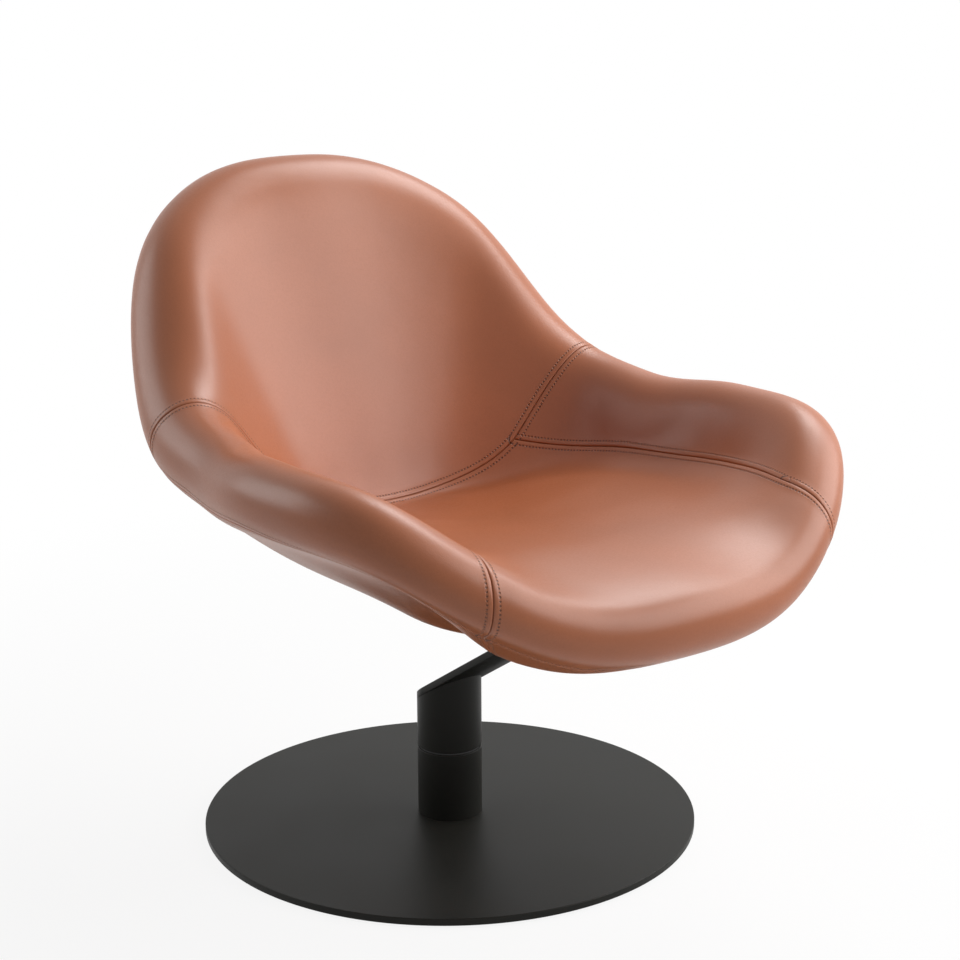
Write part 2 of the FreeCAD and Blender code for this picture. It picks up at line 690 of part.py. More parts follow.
def lower_path(p, start):
    """From the seam to the underside's flat belly."""
    return [(p[start], p["belly"][0]), p["belly"], (p["belly"][2], p["under"])]


def backward(path):
    return [tuple(reversed(run)) for run in reversed(path)]


def linked(outer, inner):
    """Two paths as one, with a straight run between them."""
    return outer + [(outer[-1][-1], inner[0][0])] + inner


def foam_section(angle):
    p = bucket_points(angle, size("leather") + size("leather_gap"))
    return upper_path(p) + lower_path(p, "seam")


def skin_section(angle):
    outer = upper_path(bucket_points(angle, 0))
    return linked(outer, backward(upper_path(bucket_points(angle, size("leather")))))


def under_section(angle):
    inner = backward(lower_path(bucket_points(angle, size("leather")), "seam_past"))
    return linked(inner, lower_path(bucket_points(angle, 0), "seam_past"))


def shell_section(angle, extra=0.0):
    """A strip of even thickness from its flat middle's edge: a knee, a bend, then up inside the wall."""
    p = bucket_points(angle, 0)
    c = section_values(angle)
    level = math.cos(math.radians(angle))
    slant = math.cos(math.atan(size("seat_rise")))
    half = size("shell_thickness") / 2 + extra
    middle_up = size("mount_plate_height") + (size("mount_plate_thickness") + size("sleeve_height")
                                              + size("shell_thickness") / 2) / slant
    start = complex(0, middle_up)
    knee = complex(size("shell_flat"), middle_up + size("seat_rise") * size("shell_flat") * level)
    inner = complex(c["bend_out"], c["bend_up"])
    belly = complex(c["belly_out"], c["belly_up"])
    corner = inner + (belly - inner) * size("shell_depth")
    rim = complex(c["rim_out"], c["rim_up"])
    rising = unit(rim - corner)
    end = rim - rising * size("shell_setback")
    flat = unit(knee - start)
    leaning = unit(corner - knee)
    knee_turn = turn_between(flat, leaning)
    corner_turn = turn_between(leaning, rising)
    sides = []
    for side in (1, -1):
        knee_point = moved_corner(knee, flat, leaning, side * half)
        corner_point = moved_corner(corner, leaning, rising, side * half)
        knee_run = size("shell_knee") - side * half * math.tan(knee_turn / 2)
        corner_run = size("shell_bend") - side * half * math.tan(corner_turn / 2)
        knee_start, knee_middle, knee_end = bend(knee_point, flat, leaning, knee_run)
        out = knee_start.real
        on_plane = complex(out, middle_up + size("seat_rise") * out * level + side * half / slant)
        corner_arc = bend(corner_point, leaning, rising, corner_run)
        tip = end + rising * extra + side * 1j * half * rising
        sides.append([(on_plane, knee_middle, knee_end), (knee_end, corner_arc[0]), corner_arc,
                      (corner_arc[2], tip)])
    top, low = sides
    return linked(top, backward(low))


def placed(run, angle):
    """A run's points in the half plane at an angle."""
    turn = math.radians(angle)
    return [pole + Vector(q.real * math.sin(turn), -q.real * math.cos(turn), q.imag) for q in run]


def section_wire(path, angle):
    """A section's path as a wire in its half plane."""
    edges = []
    for run in path:
        points = placed(run, angle)
        bowed = len(run) > 2 and abs(run[1] - (run[0] + run[-1]) / 2) > ARC_BOW
        curve = Part.Arc(*points) if bowed else Part.LineSegment(points[0], points[-1])
        edges.append(curve.toShape())
    return Part.Wire(edges)


def section_angles():
    """From the front to the back, closer together at both ends, where the mirrored halves meet."""
    step = size("section_step")
    near = [share * step for share in END_SHARES]
    turns = [index * step for index in range(round(180 / step) + 1)]
    return sorted(turns + near + [180 - turn for turn in near])


def half_loft(name, section):
    """Sections on the side of +X, with flat faces at the pole and on the mirror plane."""
    angles = section_angles()
    strip = Part.makeLoft([section_wire(section(angle), angle) for angle in angles])

    def off_plane(edge):
        middle = (edge.FirstParameter + edge.LastParameter) / 2
        return abs(edge.valueAt(middle).x) > SAME_POINT

    faces = list(strip.Faces)
    edges = [edge for face in faces for edge in face.Edges]
    outline = [edge for edge in edges if not off_plane(edge)]
    across = [edge for edge in edges if off_plane(edge)]
    rims = [edge for edge in across if sum(edge.isSame(other) for other in across) == 1]
    for rim in rims:
        chord = Part.makeLine(rim.valueAt(rim.FirstParameter), rim.valueAt(rim.LastParameter))
        faces.append(Part.Face(Part.Wire([rim, chord])))
        outline.append(chord)
    faces.append(Part.Face(Part.Wire(Part.sortEdges(outline)[0])))
    shell = Part.Shell(faces)
    shell.sewShape()
    solid = Part.Solid(shell)
    if solid.Volume < 0:
        solid.reverse()
    obj = doc.addObject("Part::Feature", name)
    obj.Shape = solid
    return obj


def mirrored(name, source):
    """The same solid on the side of -X."""
    obj = doc.addObject("Part::Mirroring", name)
    obj.Source = source
    obj.Base = Vector(0, 0, 0)
    obj.Normal = Vector(1, 0, 0)
    return obj


def both_halves(name, source):
    """A half and its mirror image as one solid."""
    return joined(name, [source, mirrored(name + "_image", source)])


def seam_knife(points):
    """A thin upright wall along a plan line or arc, where two panels part."""
    half = size("seam_gap") / 2
    if len(points) == 3:
        middle = Part.Arc(*points).toShape().Curve.Center
        normals = [(point - middle).normalize() * half for point in points]
    else:
        along = points[1] - points[0]
        normals = [Vector(-along.y, along.x, 0).normalize() * half] * 2
    outer = [point + normal for point, normal in zip(points, normals)]
    inner = [point - normal for point, normal in zip(points, normals)]
    curve = Part.Arc if len(points) == 3 else Part.LineSegment
    edges = [curve(*outer).toShape(), Part.LineSegment(outer[-1], inner[-1]).toShape(),
             curve(*inner).toShape(), Part.LineSegment(inner[0], outer[0]).toShape()]
    face = Part.Face(Part.Wire(Part.sortEdges(edges)[0]))
    return face.extrude(Vector(0, 0, size("knife_height")))


def seam_knives():
    """The walls where seat, left arm and back part, in plan."""
    far = size("knife_height")
    corner = Vector(size("seam_corner_out"), size("seam_corner_back"), 0)
    across = Vector(-corner.x, corner.y, 0)
    crease = Vector(0, size("seam_crease_back"), 0)
    wide = Vector(size("seam_wide_out"), -size("seam_wide_front"), 0)
    narrow = Vector(size("seam_narrow_out"), -size("seam_narrow_front"), 0)
    front = Vector(size("seam_front_out"), -far, 0)
    shoulder = Vector(size("seam_shoulder_out"), size("seam_shoulder_back"), 0)
    beyond = corner + (shoulder - corner).normalize() * far
    knives = [seam_knife(points) for points in
              ([across, crease, corner], [corner, wide, narrow], [narrow, front], [corner, beyond])]
    knives += [Part.makeCylinder(size("seam_gap"), far, point) for point in (corner, narrow)]
    obj = doc.addObject("Part::Feature", "seam_knives")
    obj.Shape = knives[0].multiFuse(knives[1:])
    return obj


def region_of(solid):
    """Which panel a piece of the left half belongs to."""
    limits = solid.BoundBox
    if limits.XMin > size("seam_gap"):
        return "arm"
    return "back" if limits.Center.y > size("seam_corner_back") else "seat"


def panels(parted, kind):
    """Seat, back and the two arms from a parted left half."""
    halves = {}
    for solid in parted.Shape.Solids:
        region = region_of(solid)
        if region in halves:
            raise ValueError("%s %s is in pieces" % (region, kind))
        halves[region] = doc.addObject("Part::Feature", "%s_%s_half" % (region, kind))
        halves[region].Shape = solid
    keep(both_halves("seat_%s_whole" % kind, halves["seat"]), "seat_" + kind)
    keep(both_halves("back_%s_whole" % kind, halves["back"]), "back_" + kind)
    keep(halves["arm"], "left_arm_" + kind)
    keep(mirrored("right_arm_%s_image" % kind, halves["arm"]), "right_arm_" + kind)


def bracket_pocket():
    """Clear room for the bracket on its way through the underside to the mount plate."""
    width = "({tube_diameter} + 2 * {pocket_gap})"
    strip = box("pocket_strip", width, "{bracket_reach}", BEYOND_HEIGHT,
                ("-" + width + " / 2", "-{bracket_reach}", "0"))
    slab = tilted_block("pocket_slab", "-{pocket_gap}", "{bracket_thickness} + 2 * {pocket_gap}")
    above = above_mount_plate("pocket_bevel", "{pocket_gap}")
    return cut("bracket_pocket", common("pocket_tilted", [strip, slab]), above)


def mount_pockets():
    """Clear room in the foam for the mount plate, sleeves, screws and tee nuts."""
    gap = "{pocket_gap}"
    plate = box("plate_pocket", "{mount_plate_width} + 2 * " + gap,
                "{mount_plate_front} + {mount_plate_rear} + 2 * " + gap,
                "{mount_plate_thickness} + 2 * " + gap)
    on_seat_frame(plate, "-{mount_plate_width} / 2 - " + gap, "-{mount_plate_front} - " + gap, "-" + gap)
    pockets = [plate]
    for index, signs in enumerate(MOUNT_PLACES):
        across, along = mount_place(signs)
        well = cylinder("screw_pocket_%d" % index, "{sleeve_diameter} / 2 + " + gap,
                        "{mount_screw_length} + " + gap)
        pockets.append(on_seat_frame(well, across, along))
    return joined("mount_pockets", pockets)


def bucket():
    """The shell, the foam and the leather of the bucket."""
    knives = seam_knives()
    slot = bracket_pocket()
    shell = both_halves("shell_strip", half_loft("shell_half", shell_section))
    holes = []
    for index, signs in enumerate(MOUNT_PLACES):
        across, along = mount_place(signs)
        hole = cylinder("shell_hole_%d" % index, "{tee_nut_barrel} / 2 + {thread_gap}", "{mount_screw_length}")
        holes.append(on_seat_frame(hole, across, along, "{mount_plate_thickness}"))
    keep(cut("shell_cut", shell, joined("shell_holes", holes)), "shell")
    padding = half_loft("padding_half", foam_section)
    room = half_loft("shell_room_half", lambda angle: shell_section(angle, size("shell_gap")))
    pockets = joined("padding_pockets", [slot, mount_pockets()])
    hollow = cut("hollow_padding", cut("roomy_padding", padding, room), pockets)
    parted_foam = cut("parted_foam", hollow, knives)
    parted_cover = cut("parted_cover", half_loft("upper_skin_half", skin_section), knives)
    under = both_halves("under_skin", half_loft("under_skin_half", under_section))
    keep(cut("under_cover_cut", under, slot), "under_cover")
    doc.recompute()
    panels(parted_foam, "foam")
    panels(parted_cover, "cover")


foot_plate()
floor_glides()
foot_plug()
foot_screws()
column_lower()
lower_hub()
spindle()
thrust_ring()
retaining_washer()
lock_nut()
column_upper()
bracket_plate()
upper_hub()
bush("lower_bush", HUB_LOW, " + ")
bush("upper_bush", HUB_TOP, " - ")
mount_plate()
mount_screws()
spacer_sleeves()
tee_nuts()
bucket()
doc.recompute()

for obj in doc.Objects:
    if "Invalid" in obj.State or "Error" in obj.State:
        raise ValueError("%s: %s" % (obj.Name, obj.State))
for obj in sub_parts:
    if obj.Shape.isNull() or not obj.Shape.isValid() or not obj.Shape.Solids:
        raise ValueError("%s has no valid solid" % obj.Label)
os.makedirs("parts", exist_ok=True)
for obj in sub_parts:
    obj.Shape.exportStep("parts/%s.step" % obj.Label)
    print(obj.Label, len(obj.Shape.Solids), round(obj.Shape.Volume))
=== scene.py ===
"""Swivel armchair: leather bucket, offset bracket, swivel column and round foot plate.

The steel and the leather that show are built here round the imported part, in metres and in its frame.
"""

import math

import bmesh
import bpy
import numpy as np
from mathutils import Matrix, Vector
from mathutils.bvhtree import BVHTree


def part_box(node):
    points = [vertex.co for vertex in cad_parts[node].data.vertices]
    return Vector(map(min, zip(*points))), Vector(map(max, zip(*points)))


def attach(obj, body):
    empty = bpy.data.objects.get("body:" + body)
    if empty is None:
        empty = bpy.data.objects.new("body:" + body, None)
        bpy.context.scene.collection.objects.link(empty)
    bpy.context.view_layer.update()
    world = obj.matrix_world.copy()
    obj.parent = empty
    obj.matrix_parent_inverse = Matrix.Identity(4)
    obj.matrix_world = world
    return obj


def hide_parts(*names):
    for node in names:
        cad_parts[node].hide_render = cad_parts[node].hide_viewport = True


bl_info = {
    "name": "Swivel Armchair",
    "version": (1, 0, 0),
    "blender": (4, 5, 0),
    "location": "View3D > Sidebar > Armchair",
    "description": "Builds a leather swivel armchair round its packed solids",
    "category": "Object",
}

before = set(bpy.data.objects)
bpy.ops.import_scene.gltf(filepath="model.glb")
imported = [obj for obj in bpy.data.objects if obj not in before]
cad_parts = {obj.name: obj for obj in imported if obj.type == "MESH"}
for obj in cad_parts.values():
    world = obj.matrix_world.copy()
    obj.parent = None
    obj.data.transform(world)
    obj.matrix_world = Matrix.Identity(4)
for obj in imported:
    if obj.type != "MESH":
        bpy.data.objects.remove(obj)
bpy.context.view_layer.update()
MM = 0.001
TINY = 1e-6

# The bucket's sections round the seat's pole, from the front (0) to the back (180), in millimetres:
# angle, rim out and up and its rounding, seat bend out and up, belly bend out and up, the runs of
# the two bends, and how far the perimeter seam lies below the rim's round.
SECTIONS = (
    (0, 283, 352, 39, 201, 405, 222, 283, 74, 42, 28),
    (30, 304, 370, 36, 226, 411, 212, 288, 74, 48, 26),
    (44, 320, 410, 38, 239, 415, 203, 304, 70, 56, 20),
    (58, 334, 457, 38, 247, 418, 193, 348, 62, 62, 12),
    (85, 315, 471, 40, 251, 416, 184, 361, 52, 62, -13),
    (110, 309, 465, 43, 244, 407, 224, 358, 46, 62, -20),
    (132, 367, 508, 45, 244, 388, 263, 347, 36, 62, -8),
    (150, 425, 653, 41, 244, 369, 295, 345, 24, 62, 12),
    (166, 441, 713, 41, 241, 362, 321, 346, 20, 62, 20),
    (180, 436, 725, 40, 238, 360, 337, 348, 20, 62, 20),
)
# The seat's pole lies before the column. The seat rises to the front round a small disc at the pole, and
# the underside is level over a larger one, all in millimetres. A bend takes up to PINCH of its sides.
POLE_BACK = 116
SEAT_HEIGHT = 388
SEAT_RISE = 0.085
SEAT_DISC = 12
UNDER_HEIGHT = 290
UNDER_DISC = 110
PINCH = 0.9

# The seams, each place an angle from the front and the run over the leather from the seat's pole in
# millimetres. The back's runs from the middle of the crease up over the rim; an arm's leaves it at the
# corner. Both end past the perimeter seam, where they are cut off.
BACK_SEAM = (
    (180, 234), (172, 237.5), (164, 243.5), (156, 252), (150, 260), (145.5, 268.5), (142.5, 277),
    (140.8, 285), (139, 297), (136.8, 315), (134.7, 333), (132.4, 351), (130.2, 367), (128, 386),
    (126, 403), (124.9, 415), (124.5, 430), (124.6, 447), (125, 465), (125.5, 490), (126, 515), (126.5, 540),
)
CORNER = (140.9, 284.5)
ARM_SEAM = (
    (129, 267), (116, 254.5), (101, 249.5), (87, 254), (74, 262.5), (62, 272.5), (52, 287), (45.5, 304),
    (42, 324), (40.3, 346), (39.9, 368), (40.3, 392), (41.4, 420), (42.8, 450), (44.5, 480),
)
ARM_BEND = (45.5, 304)
BELLY_SHARE = 0.5
BACK_SAMPLES, ARM_SAMPLES, BELLY_SAMPLES = 800, 400, 60
SEAM_STEP = 3
SEAM_SOFTENING = 5
NEAREST_BATCH = 2000

# Sections are laid at TURNS angles, each with a number of samples along its parts: seat, bend, wall,
# pad, rim, outside, belly bend, belly and level middle. The pad on the rim's inner side has a wider round
# than the rim, up to a share of the wall, and leans by the tilt. It is averaged over more samples than
# the rest, which fades in over the wall up to PAD_FADE samples before the pad.
TURNS = 720
RUN_COUNTS = (48, 24, 40, 24, 32, 20, 24, 16, 12)
BEND, WALL, CREST, RIM_END = (sum(RUN_COUNTS[:count]) for count in (1, 3, 4, 5))
PAD_FADE = 30
SECTION_SOFTENING = 8
PAD_SOFTENING = 22
TURN_SOFTENING = 5
PAD_ROUND = 2.0
PAD_SHARE = 0.6
PAD_TILT = math.radians(25)
NORMAL_REACH = 1.5

# Rows of a panel beside a seam, in millimetres from it. The fuller band beside a seam ends a little past
# the stitches, over a short run, and a row of stitches presses a groove of its own.
SEAM_ROWS = (0, 0.6, 1.2, 2, 3.2, 4.6, 5.6, 6.5, 7.4, 8.6, 11, 14.5, 19)
BAND_PAST, BAND_EDGE, STITCH_GROOVE = 1.5 * MM, 0.8 * MM, 1.2 * MM
PUCKERS = 5
CLOTH_GRID = 14
CLOTH_FRAMES = 20
CLOTH_PRESSURE = 6
CLOTH = {
    "quality": 6,
    "mass": 0.4,
    "tension_stiffness": 60,
    "compression_stiffness": 60,
    "shear_stiffness": 30,
    "bending_stiffness": 20,
    "vertex_group_mass": "sewn",
    "use_pressure": True,
}
# The underside's grid: its even columns, the gap in degrees between them and the columns at the belly
# seams, the spacing of its rows in millimetres, the share of the way to the middle where they stop, and
# the shares over which the seams' pull fades out
UNDER_COLUMNS, UNDER_GAP, UNDER_ROWS, UNDER_END = 241, 0.7, 11, 0.97
UNDER_FADE = (0.4, 0.6)
SLOT_ROOM = 2 * MM
STITCH_BATCH = 24
STITCH_SUNK = 0.1

# The foot plate's roundings in steel edges, and its countersinks: how far their circle lies inside the
# screws' outer edge, their radii at the mouth and the end, depth, and middle over the plate's underside
PLATE_EDGE = 1.4
SINK_INSET, SINK_MOUTH, SINK_END, SINK_DEPTH, SINK_MIDDLE = 7.8 * MM, 8.3 * MM, 4.1 * MM, 4.2 * MM, 1.7 * MM
STRIP_PAST, STRIP_DEPTH, STRIP_EDGE = 0.05, 0.6, 0.7

# Softboxes round the chair: name, bearing from its front and height in degrees, width and height in
# metres, watts
LAMPS = (
    ("front_right", 53, 30, 3.1, 1.9, 72),
    ("high_right", 107, 52, 1.4, 1.1, 34),
    ("back_left", -135, 24, 1.4, 1.4, 18),
)
LIT_PLACE = Vector((0, -0.05, 0.45))
LAMP_REACH = 2.5
ROOM_LIGHT = 0.07
FLOOR_RADIUS = 9
FLOOR_NEAR, FLOOR_FAR, FLOOR_LIFT = 0.45, 1.6, 0.88
CAMERA_PLACE = (-1.3055, -1.7968, 0.975)
CAMERA_HEADING, CAMERA_PITCH, CAMERA_ROLL = math.radians(36.97), math.radians(14.17), math.radians(-0.3)
CAMERA_LENS, CAMERA_SENSOR = 75, 36


# Sections

def unit(v):
    return v / abs(v)


def section_rows():
    """The sections' values at every half degree: a smooth curve through the rows, level at both ends."""
    rows = np.array(SECTIONS, float)
    angles, values = rows[:, 0], rows[:, 1:]
    steps = np.diff(angles)[:, None]
    rises = np.diff(values, axis=0) / steps
    slopes = np.zeros_like(values)
    slopes[1:-1] = (steps[1:] * rises[:-1] + steps[:-1] * rises[1:]) / (steps[1:] + steps[:-1])
    turns = np.abs((np.arange(TURNS) * 360 / TURNS + 180) % 360 - 180)
    k = np.clip(np.searchsorted(angles, turns, side="right") - 1, 0, len(angles) - 2)
    step = steps[k]
    w = ((turns - angles[k]) / step[:, 0])[:, None]
    return (values[k] * (1 + 2 * w) * (1 - w) ** 2 + slopes[k] * step * w * (1 - w) ** 2
            + values[k + 1] * w * w * (3 - 2 * w) - slopes[k + 1] * step * w * w * (1 - w))


def straight(start, end, count):
    return start + (end - start) * np.arange(count) / count


def arc(corner, u, v, run, count):
    """The round between two directions that meet at a corner."""
    turn = np.angle(v / u)
    start = corner - u * run
    if abs(turn) < MM:
        return straight(start, corner + v * run, count)
    centre = start + 1j * u * np.sign(turn) * run / math.tan(abs(turn) / 2)
    return centre + (start - centre) * np.exp(1j * turn * np.arange(count) / count)


def bowl(pole, leaving, start, sitting, count):
    """The seat from its pole, where it is flat, to the bend."""
    w = np.arange(count) / count
    third = abs(start - pole) / 3
    return (pole * (1 - w) ** 3 + 3 * (pole + leaving * third) * w * (1 - w) ** 2
            + 3 * (start - sitting * third) * w * w * (1 - w) + start * w ** 3)


def section_path(row, level):
    """One section from the seat's pole over the rim to the middle of the belly."""
    rim_out, rim_up, radius, bend_out, bend_up, belly_out, belly_up, bend_run, belly_run = row[:-1]
    pole = complex(0, SEAT_HEIGHT)
    seat = complex(SEAT_DISC, SEAT_HEIGHT + SEAT_RISE * SEAT_DISC * level)
    under = complex(UNDER_DISC, UNDER_HEIGHT)
    rim, inner, belly = complex(rim_out, rim_up), complex(bend_out, bend_up), complex(belly_out, belly_up)
    steep = np.angle(rim - inner) + math.asin(radius / abs(rim - inner))
    crest = 1j * np.exp(1j * min(PAD_TILT, steep))
    pad_radius = min(radius * PAD_ROUND, PAD_SHARE * abs(rim - inner))
    pad = rim - crest * (pad_radius - radius)
    inside = unit(pad - inner) * np.exp(1j * math.asin(pad_radius / abs(pad - inner)))
    inside_end = inner + inside * math.sqrt(abs(pad - inner) ** 2 - pad_radius ** 2)
    outside = -unit(rim - belly) * np.exp(-1j * math.asin(radius / abs(rim - belly)))
    outside_start = belly - outside * math.sqrt(abs(rim - belly) ** 2 - radius ** 2)
    sitting = unit(inner - seat)
    resting = unit(under - belly)
    first, top = np.angle(inside_end - pad) % (2 * math.pi), np.angle(crest)
    sweep = (top - np.angle(outside_start - rim)) % (2 * math.pi)
    bend_run = min(bend_run, PINCH * abs(inner - seat), PINCH * abs(inside_end - inner))
    belly_run = min(belly_run, PINCH * abs(belly - outside_start), PINCH * abs(under - belly))
    counts = RUN_COUNTS
    return np.concatenate((
        bowl(pole, unit(complex(1, SEAT_RISE * level)), inner - sitting * bend_run, sitting, counts[0]),
        arc(inner, sitting, inside, bend_run, counts[1]),
        straight(inner + inside * bend_run, inside_end, counts[2]),
        pad + pad_radius * np.exp(1j * (first + (top - first) * np.arange(counts[3]) / counts[3])),
        rim + radius * np.exp(1j * (top - sweep * np.arange(counts[4]) / counts[4])),
        straight(outside_start, belly - outside * belly_run, counts[5]),
        arc(belly, outside, resting, belly_run, counts[6]),
        straight(belly + resting * belly_run, under, counts[7]),
        straight(under, complex(0, UNDER_HEIGHT), counts[8]),
        [complex(0, UNDER_HEIGHT)]))


def bell(spread):
    """Weights that average over a spread of samples."""
    reach = int(3 * spread)
    weights = np.exp(-0.5 * (np.arange(-reach, reach + 1) / spread) ** 2)
    return weights / weights.sum()


def averaged(values, spread):
    """An open line averaged over a spread of its samples, with its two ends kept."""
    weights = bell(spread)
    reach = len(weights) // 2
    before = 2 * values[0] - values[reach:0:-1]
    after = 2 * values[-1] - values[-2:-reach - 2:-1]
    return np.convolve(np.concatenate((before, values, after)), weights, mode="valid")


def eased(values, low, high):
    """0 up to the low value and 1 from the high one, level at both."""
    share = np.clip((values - low) / (high - low), 0, 1)
    return share * share * (3 - 2 * share)


def lengths(points):
    """The run along a line of points, from its start."""
    steps = np.linalg.norm(np.diff(points, axis=0), axis=1)
    return np.concatenate(([0], np.cumsum(steps)))


def flat(turn, run):
    """The flat layout's place for an angle and a run from the pole."""
    turn = np.radians(turn)
    return np.stack((run * np.sin(turn), -run * np.cos(turn)), axis=-1)


def unflat(plan):
    """The angle and the run from the pole of places in the flat layout."""
    return np.degrees(np.arctan2(plan[..., 0], -plan[..., 1])), np.hypot(plan[..., 0], plan[..., 1])


def between(table, turn):
    """A per-angle value between two table rows."""
    place = np.asarray(turn) % 360 * TURNS / 360
    low = np.floor(place).astype(int)
    first, second = table[low % TURNS], table[(low + 1) % TURNS]
    return first + (second - first) * (place - low)


class Bucket:
    """The bucket's outside, laid out flat: a place on it is its run from the pole, along its angle."""

    def __init__(self):
        rows = section_rows()
        samples = np.arange(sum(RUN_COUNTS) + 1)
        self.softness = eased(samples, BEND, WALL - PAD_FADE) * (1 - eased(samples, WALL, CREST))
        levels = np.cos(np.radians(np.arange(TURNS) * 360 / TURNS))
        paths = np.array([self.softened(section_path(row, level)) for row, level in zip(rows, levels)])
        weights = bell(TURN_SOFTENING)
        reach = len(weights) // 2
        paths = sum(np.roll(paths, shift, axis=0) * weight
                    for shift, weight in zip(range(-reach, reach + 1), weights))
        spans = np.cumsum(abs(np.diff(paths, axis=1)), axis=1)
        runs = np.concatenate((np.zeros((TURNS, 1)), spans), axis=1)
        self.seam = runs[:, RIM_END] + rows[:, -1]
        self.end = runs[:, -1]
        steps = np.arange(int(self.end.max()) + 2)
        self.table = np.array([np.interp(steps, run, path) for run, path in zip(runs, paths)])

    def softened(self, path):
        """A section with its changes of curve eased, most on the pad's inner side, and its samples where
        they were."""
        run = np.concatenate(([0], np.cumsum(abs(np.diff(path)))))
        even = np.linspace(0, run[-1], int(run[-1]) + 1)
        plain = np.interp(even, run, path)
        softness = np.interp(even, run, self.softness)
        firm, soft, share = [np.interp(run, even, averaged(values, spread)) for values, spread in (
            (plain, SECTION_SOFTENING), (plain, PAD_SOFTENING), (softness, PAD_SOFTENING))]
        return firm + (soft - firm) * share

    def at(self, plan):
        """Places on the bucket, in metres."""
        turn, run = unflat(np.asarray(plan, float))
        step = np.minimum(np.floor(run).astype(int), self.table.shape[1] - 2)
        place = turn % 360 * TURNS / 360
        low = np.floor(place).astype(int)
        near, far = [self.table[row, step] * (1 - run + step) + self.table[row, step + 1] * (run - step)
                     for row in (low % TURNS, (low + 1) % TURNS)]
        found = near + (far - near) * (place - low)
        angle = np.radians(turn)
        return np.stack((found.real * np.sin(angle), -POLE_BACK - found.real * np.cos(angle), found.imag),
                        axis=-1) * MM

    def normal(self, plan):
        """Outward directions at places on the bucket."""
        across, along = [self.at(plan + np.array(reach)) - self.at(plan - np.array(reach))
                         for reach in ((NORMAL_REACH, 0), (0, NORMAL_REACH))]
        normal = np.cross(across, along)
        return normal / np.linalg.norm(normal, axis=-1, keepdims=True)


# Seams

class Seam:
    """A line where two panels are sewn: places in the flat layout, on the bucket and along it."""

    def __init__(self, plan):
        self.plan = plan
        self.points = bucket.at(plan)
        self.along = lengths(self.points)

    def share(self, shares):
        """Places in the flat layout at shares of the seam's length."""
        target = np.asarray(shares) * self.along[-1]
        return np.stack([np.interp(target, self.along, self.plan[:, axis]) for axis in (0, 1)], axis=-1)

    def backward(self):
        return Seam(self.plan[::-1])

    def split(self, share):
        """The seam's two parts, before and after a share of its length."""
        here = self.share([share])
        k = np.searchsorted(self.along, share * self.along[-1])
        return Seam(np.concatenate((self.plan[:k], here))), Seam(np.concatenate((here, self.plan[k:])))


def evened(plan):
    """A seam's places at even steps, with its bends eased."""
    along = lengths(bucket.at(plan)) / MM
    targets = np.linspace(0, along[-1], round(along[-1] / SEAM_STEP) + 1)
    even = [np.interp(targets, along, plan[:, axis]) for axis in (0, 1)]
    return np.stack([averaged(values, SEAM_SOFTENING) for values in even], axis=-1)


def splined(values, shares, axis=0):
    """Samples along one axis read at shares of the way, on a curve smooth in its bends."""
    ends = [(0, 0)] * values.ndim
    ends[axis] = (1, 1)
    padded = np.pad(values, ends, mode="reflect", reflect_type="odd")
    cells = padded.shape[axis] - 3
    place = np.clip(np.asarray(shares) * cells, 0, cells - TINY)
    low = np.floor(place).astype(int)
    w = place - low
    weights = ((1 - w) ** 3, 3 * w ** 3 - 6 * w ** 2 + 4, -3 * w ** 3 + 3 * w ** 2 + 3 * w + 1, w ** 3)
    shape = [1] * values.ndim
    shape[axis] = len(place)
    return sum(np.take(padded, low + k, axis=axis) * weights[k].reshape(shape) / 6 for k in range(4))


def to_perimeter(plan):
    """A seam cut off where it meets the perimeter seam, and the angle there."""
    turns, runs = unflat(plan)
    past = runs - between(bucket.seam, turns)
    k = int(np.argmax(past > 0))
    share = past[k - 1] / (past[k - 1] - past[k])
    turn = turns[k - 1] + (turns[k] - turns[k - 1]) * share
    return np.concatenate((plan[:k], [flat(turn, between(bucket.seam, turn))])), turn


def perimeter(start, end):
    turns = np.linspace(start, end, int(abs(end - start) * 2))
    return flat(turns, between(bucket.seam, turns))


def lay_seams():
    """Every seam of the bucket."""
    half = flat(*np.array(BACK_SEAM).T)
    whole = np.concatenate((half[:0:-1] * (-1, 1), half))
    back, back_turn = to_perimeter(splined(whole, np.linspace(0.5, 1, BACK_SAMPLES)))
    k = int(np.abs(back - flat(*CORNER)).sum(axis=1).argmin())
    line = np.concatenate(([back[k]], flat(*np.array(ARM_SEAM).T)))
    arm, front_turn = to_perimeter(splined(line, np.linspace(0, 1, ARM_SAMPLES)))
    belly = np.linspace(0, BELLY_SHARE, BELLY_SAMPLES)[:, None]
    seam, end = between(bucket.seam, front_turn), between(bucket.end, front_turn)
    found = {
        "crease": Seam(evened(np.concatenate((back[k:0:-1] * (-1, 1), back[:k + 1])))),
        "front_rim": Seam(perimeter(-front_turn, front_turn)),
        "back_rim": Seam(perimeter(back_turn, 360 - back_turn)),
    }
    sides = {
        "seat": evened(arm),
        "shoulder": evened(back[k:]),
        "belly": flat(front_turn, 1) * (seam + (end - seam) * belly),
        "rim": perimeter(front_turn, back_turn),
    }
    for part, plan in sides.items():
        found["left_" + part] = Seam(plan)
        found["right_" + part] = Seam(plan * (-1, 1))
    return found


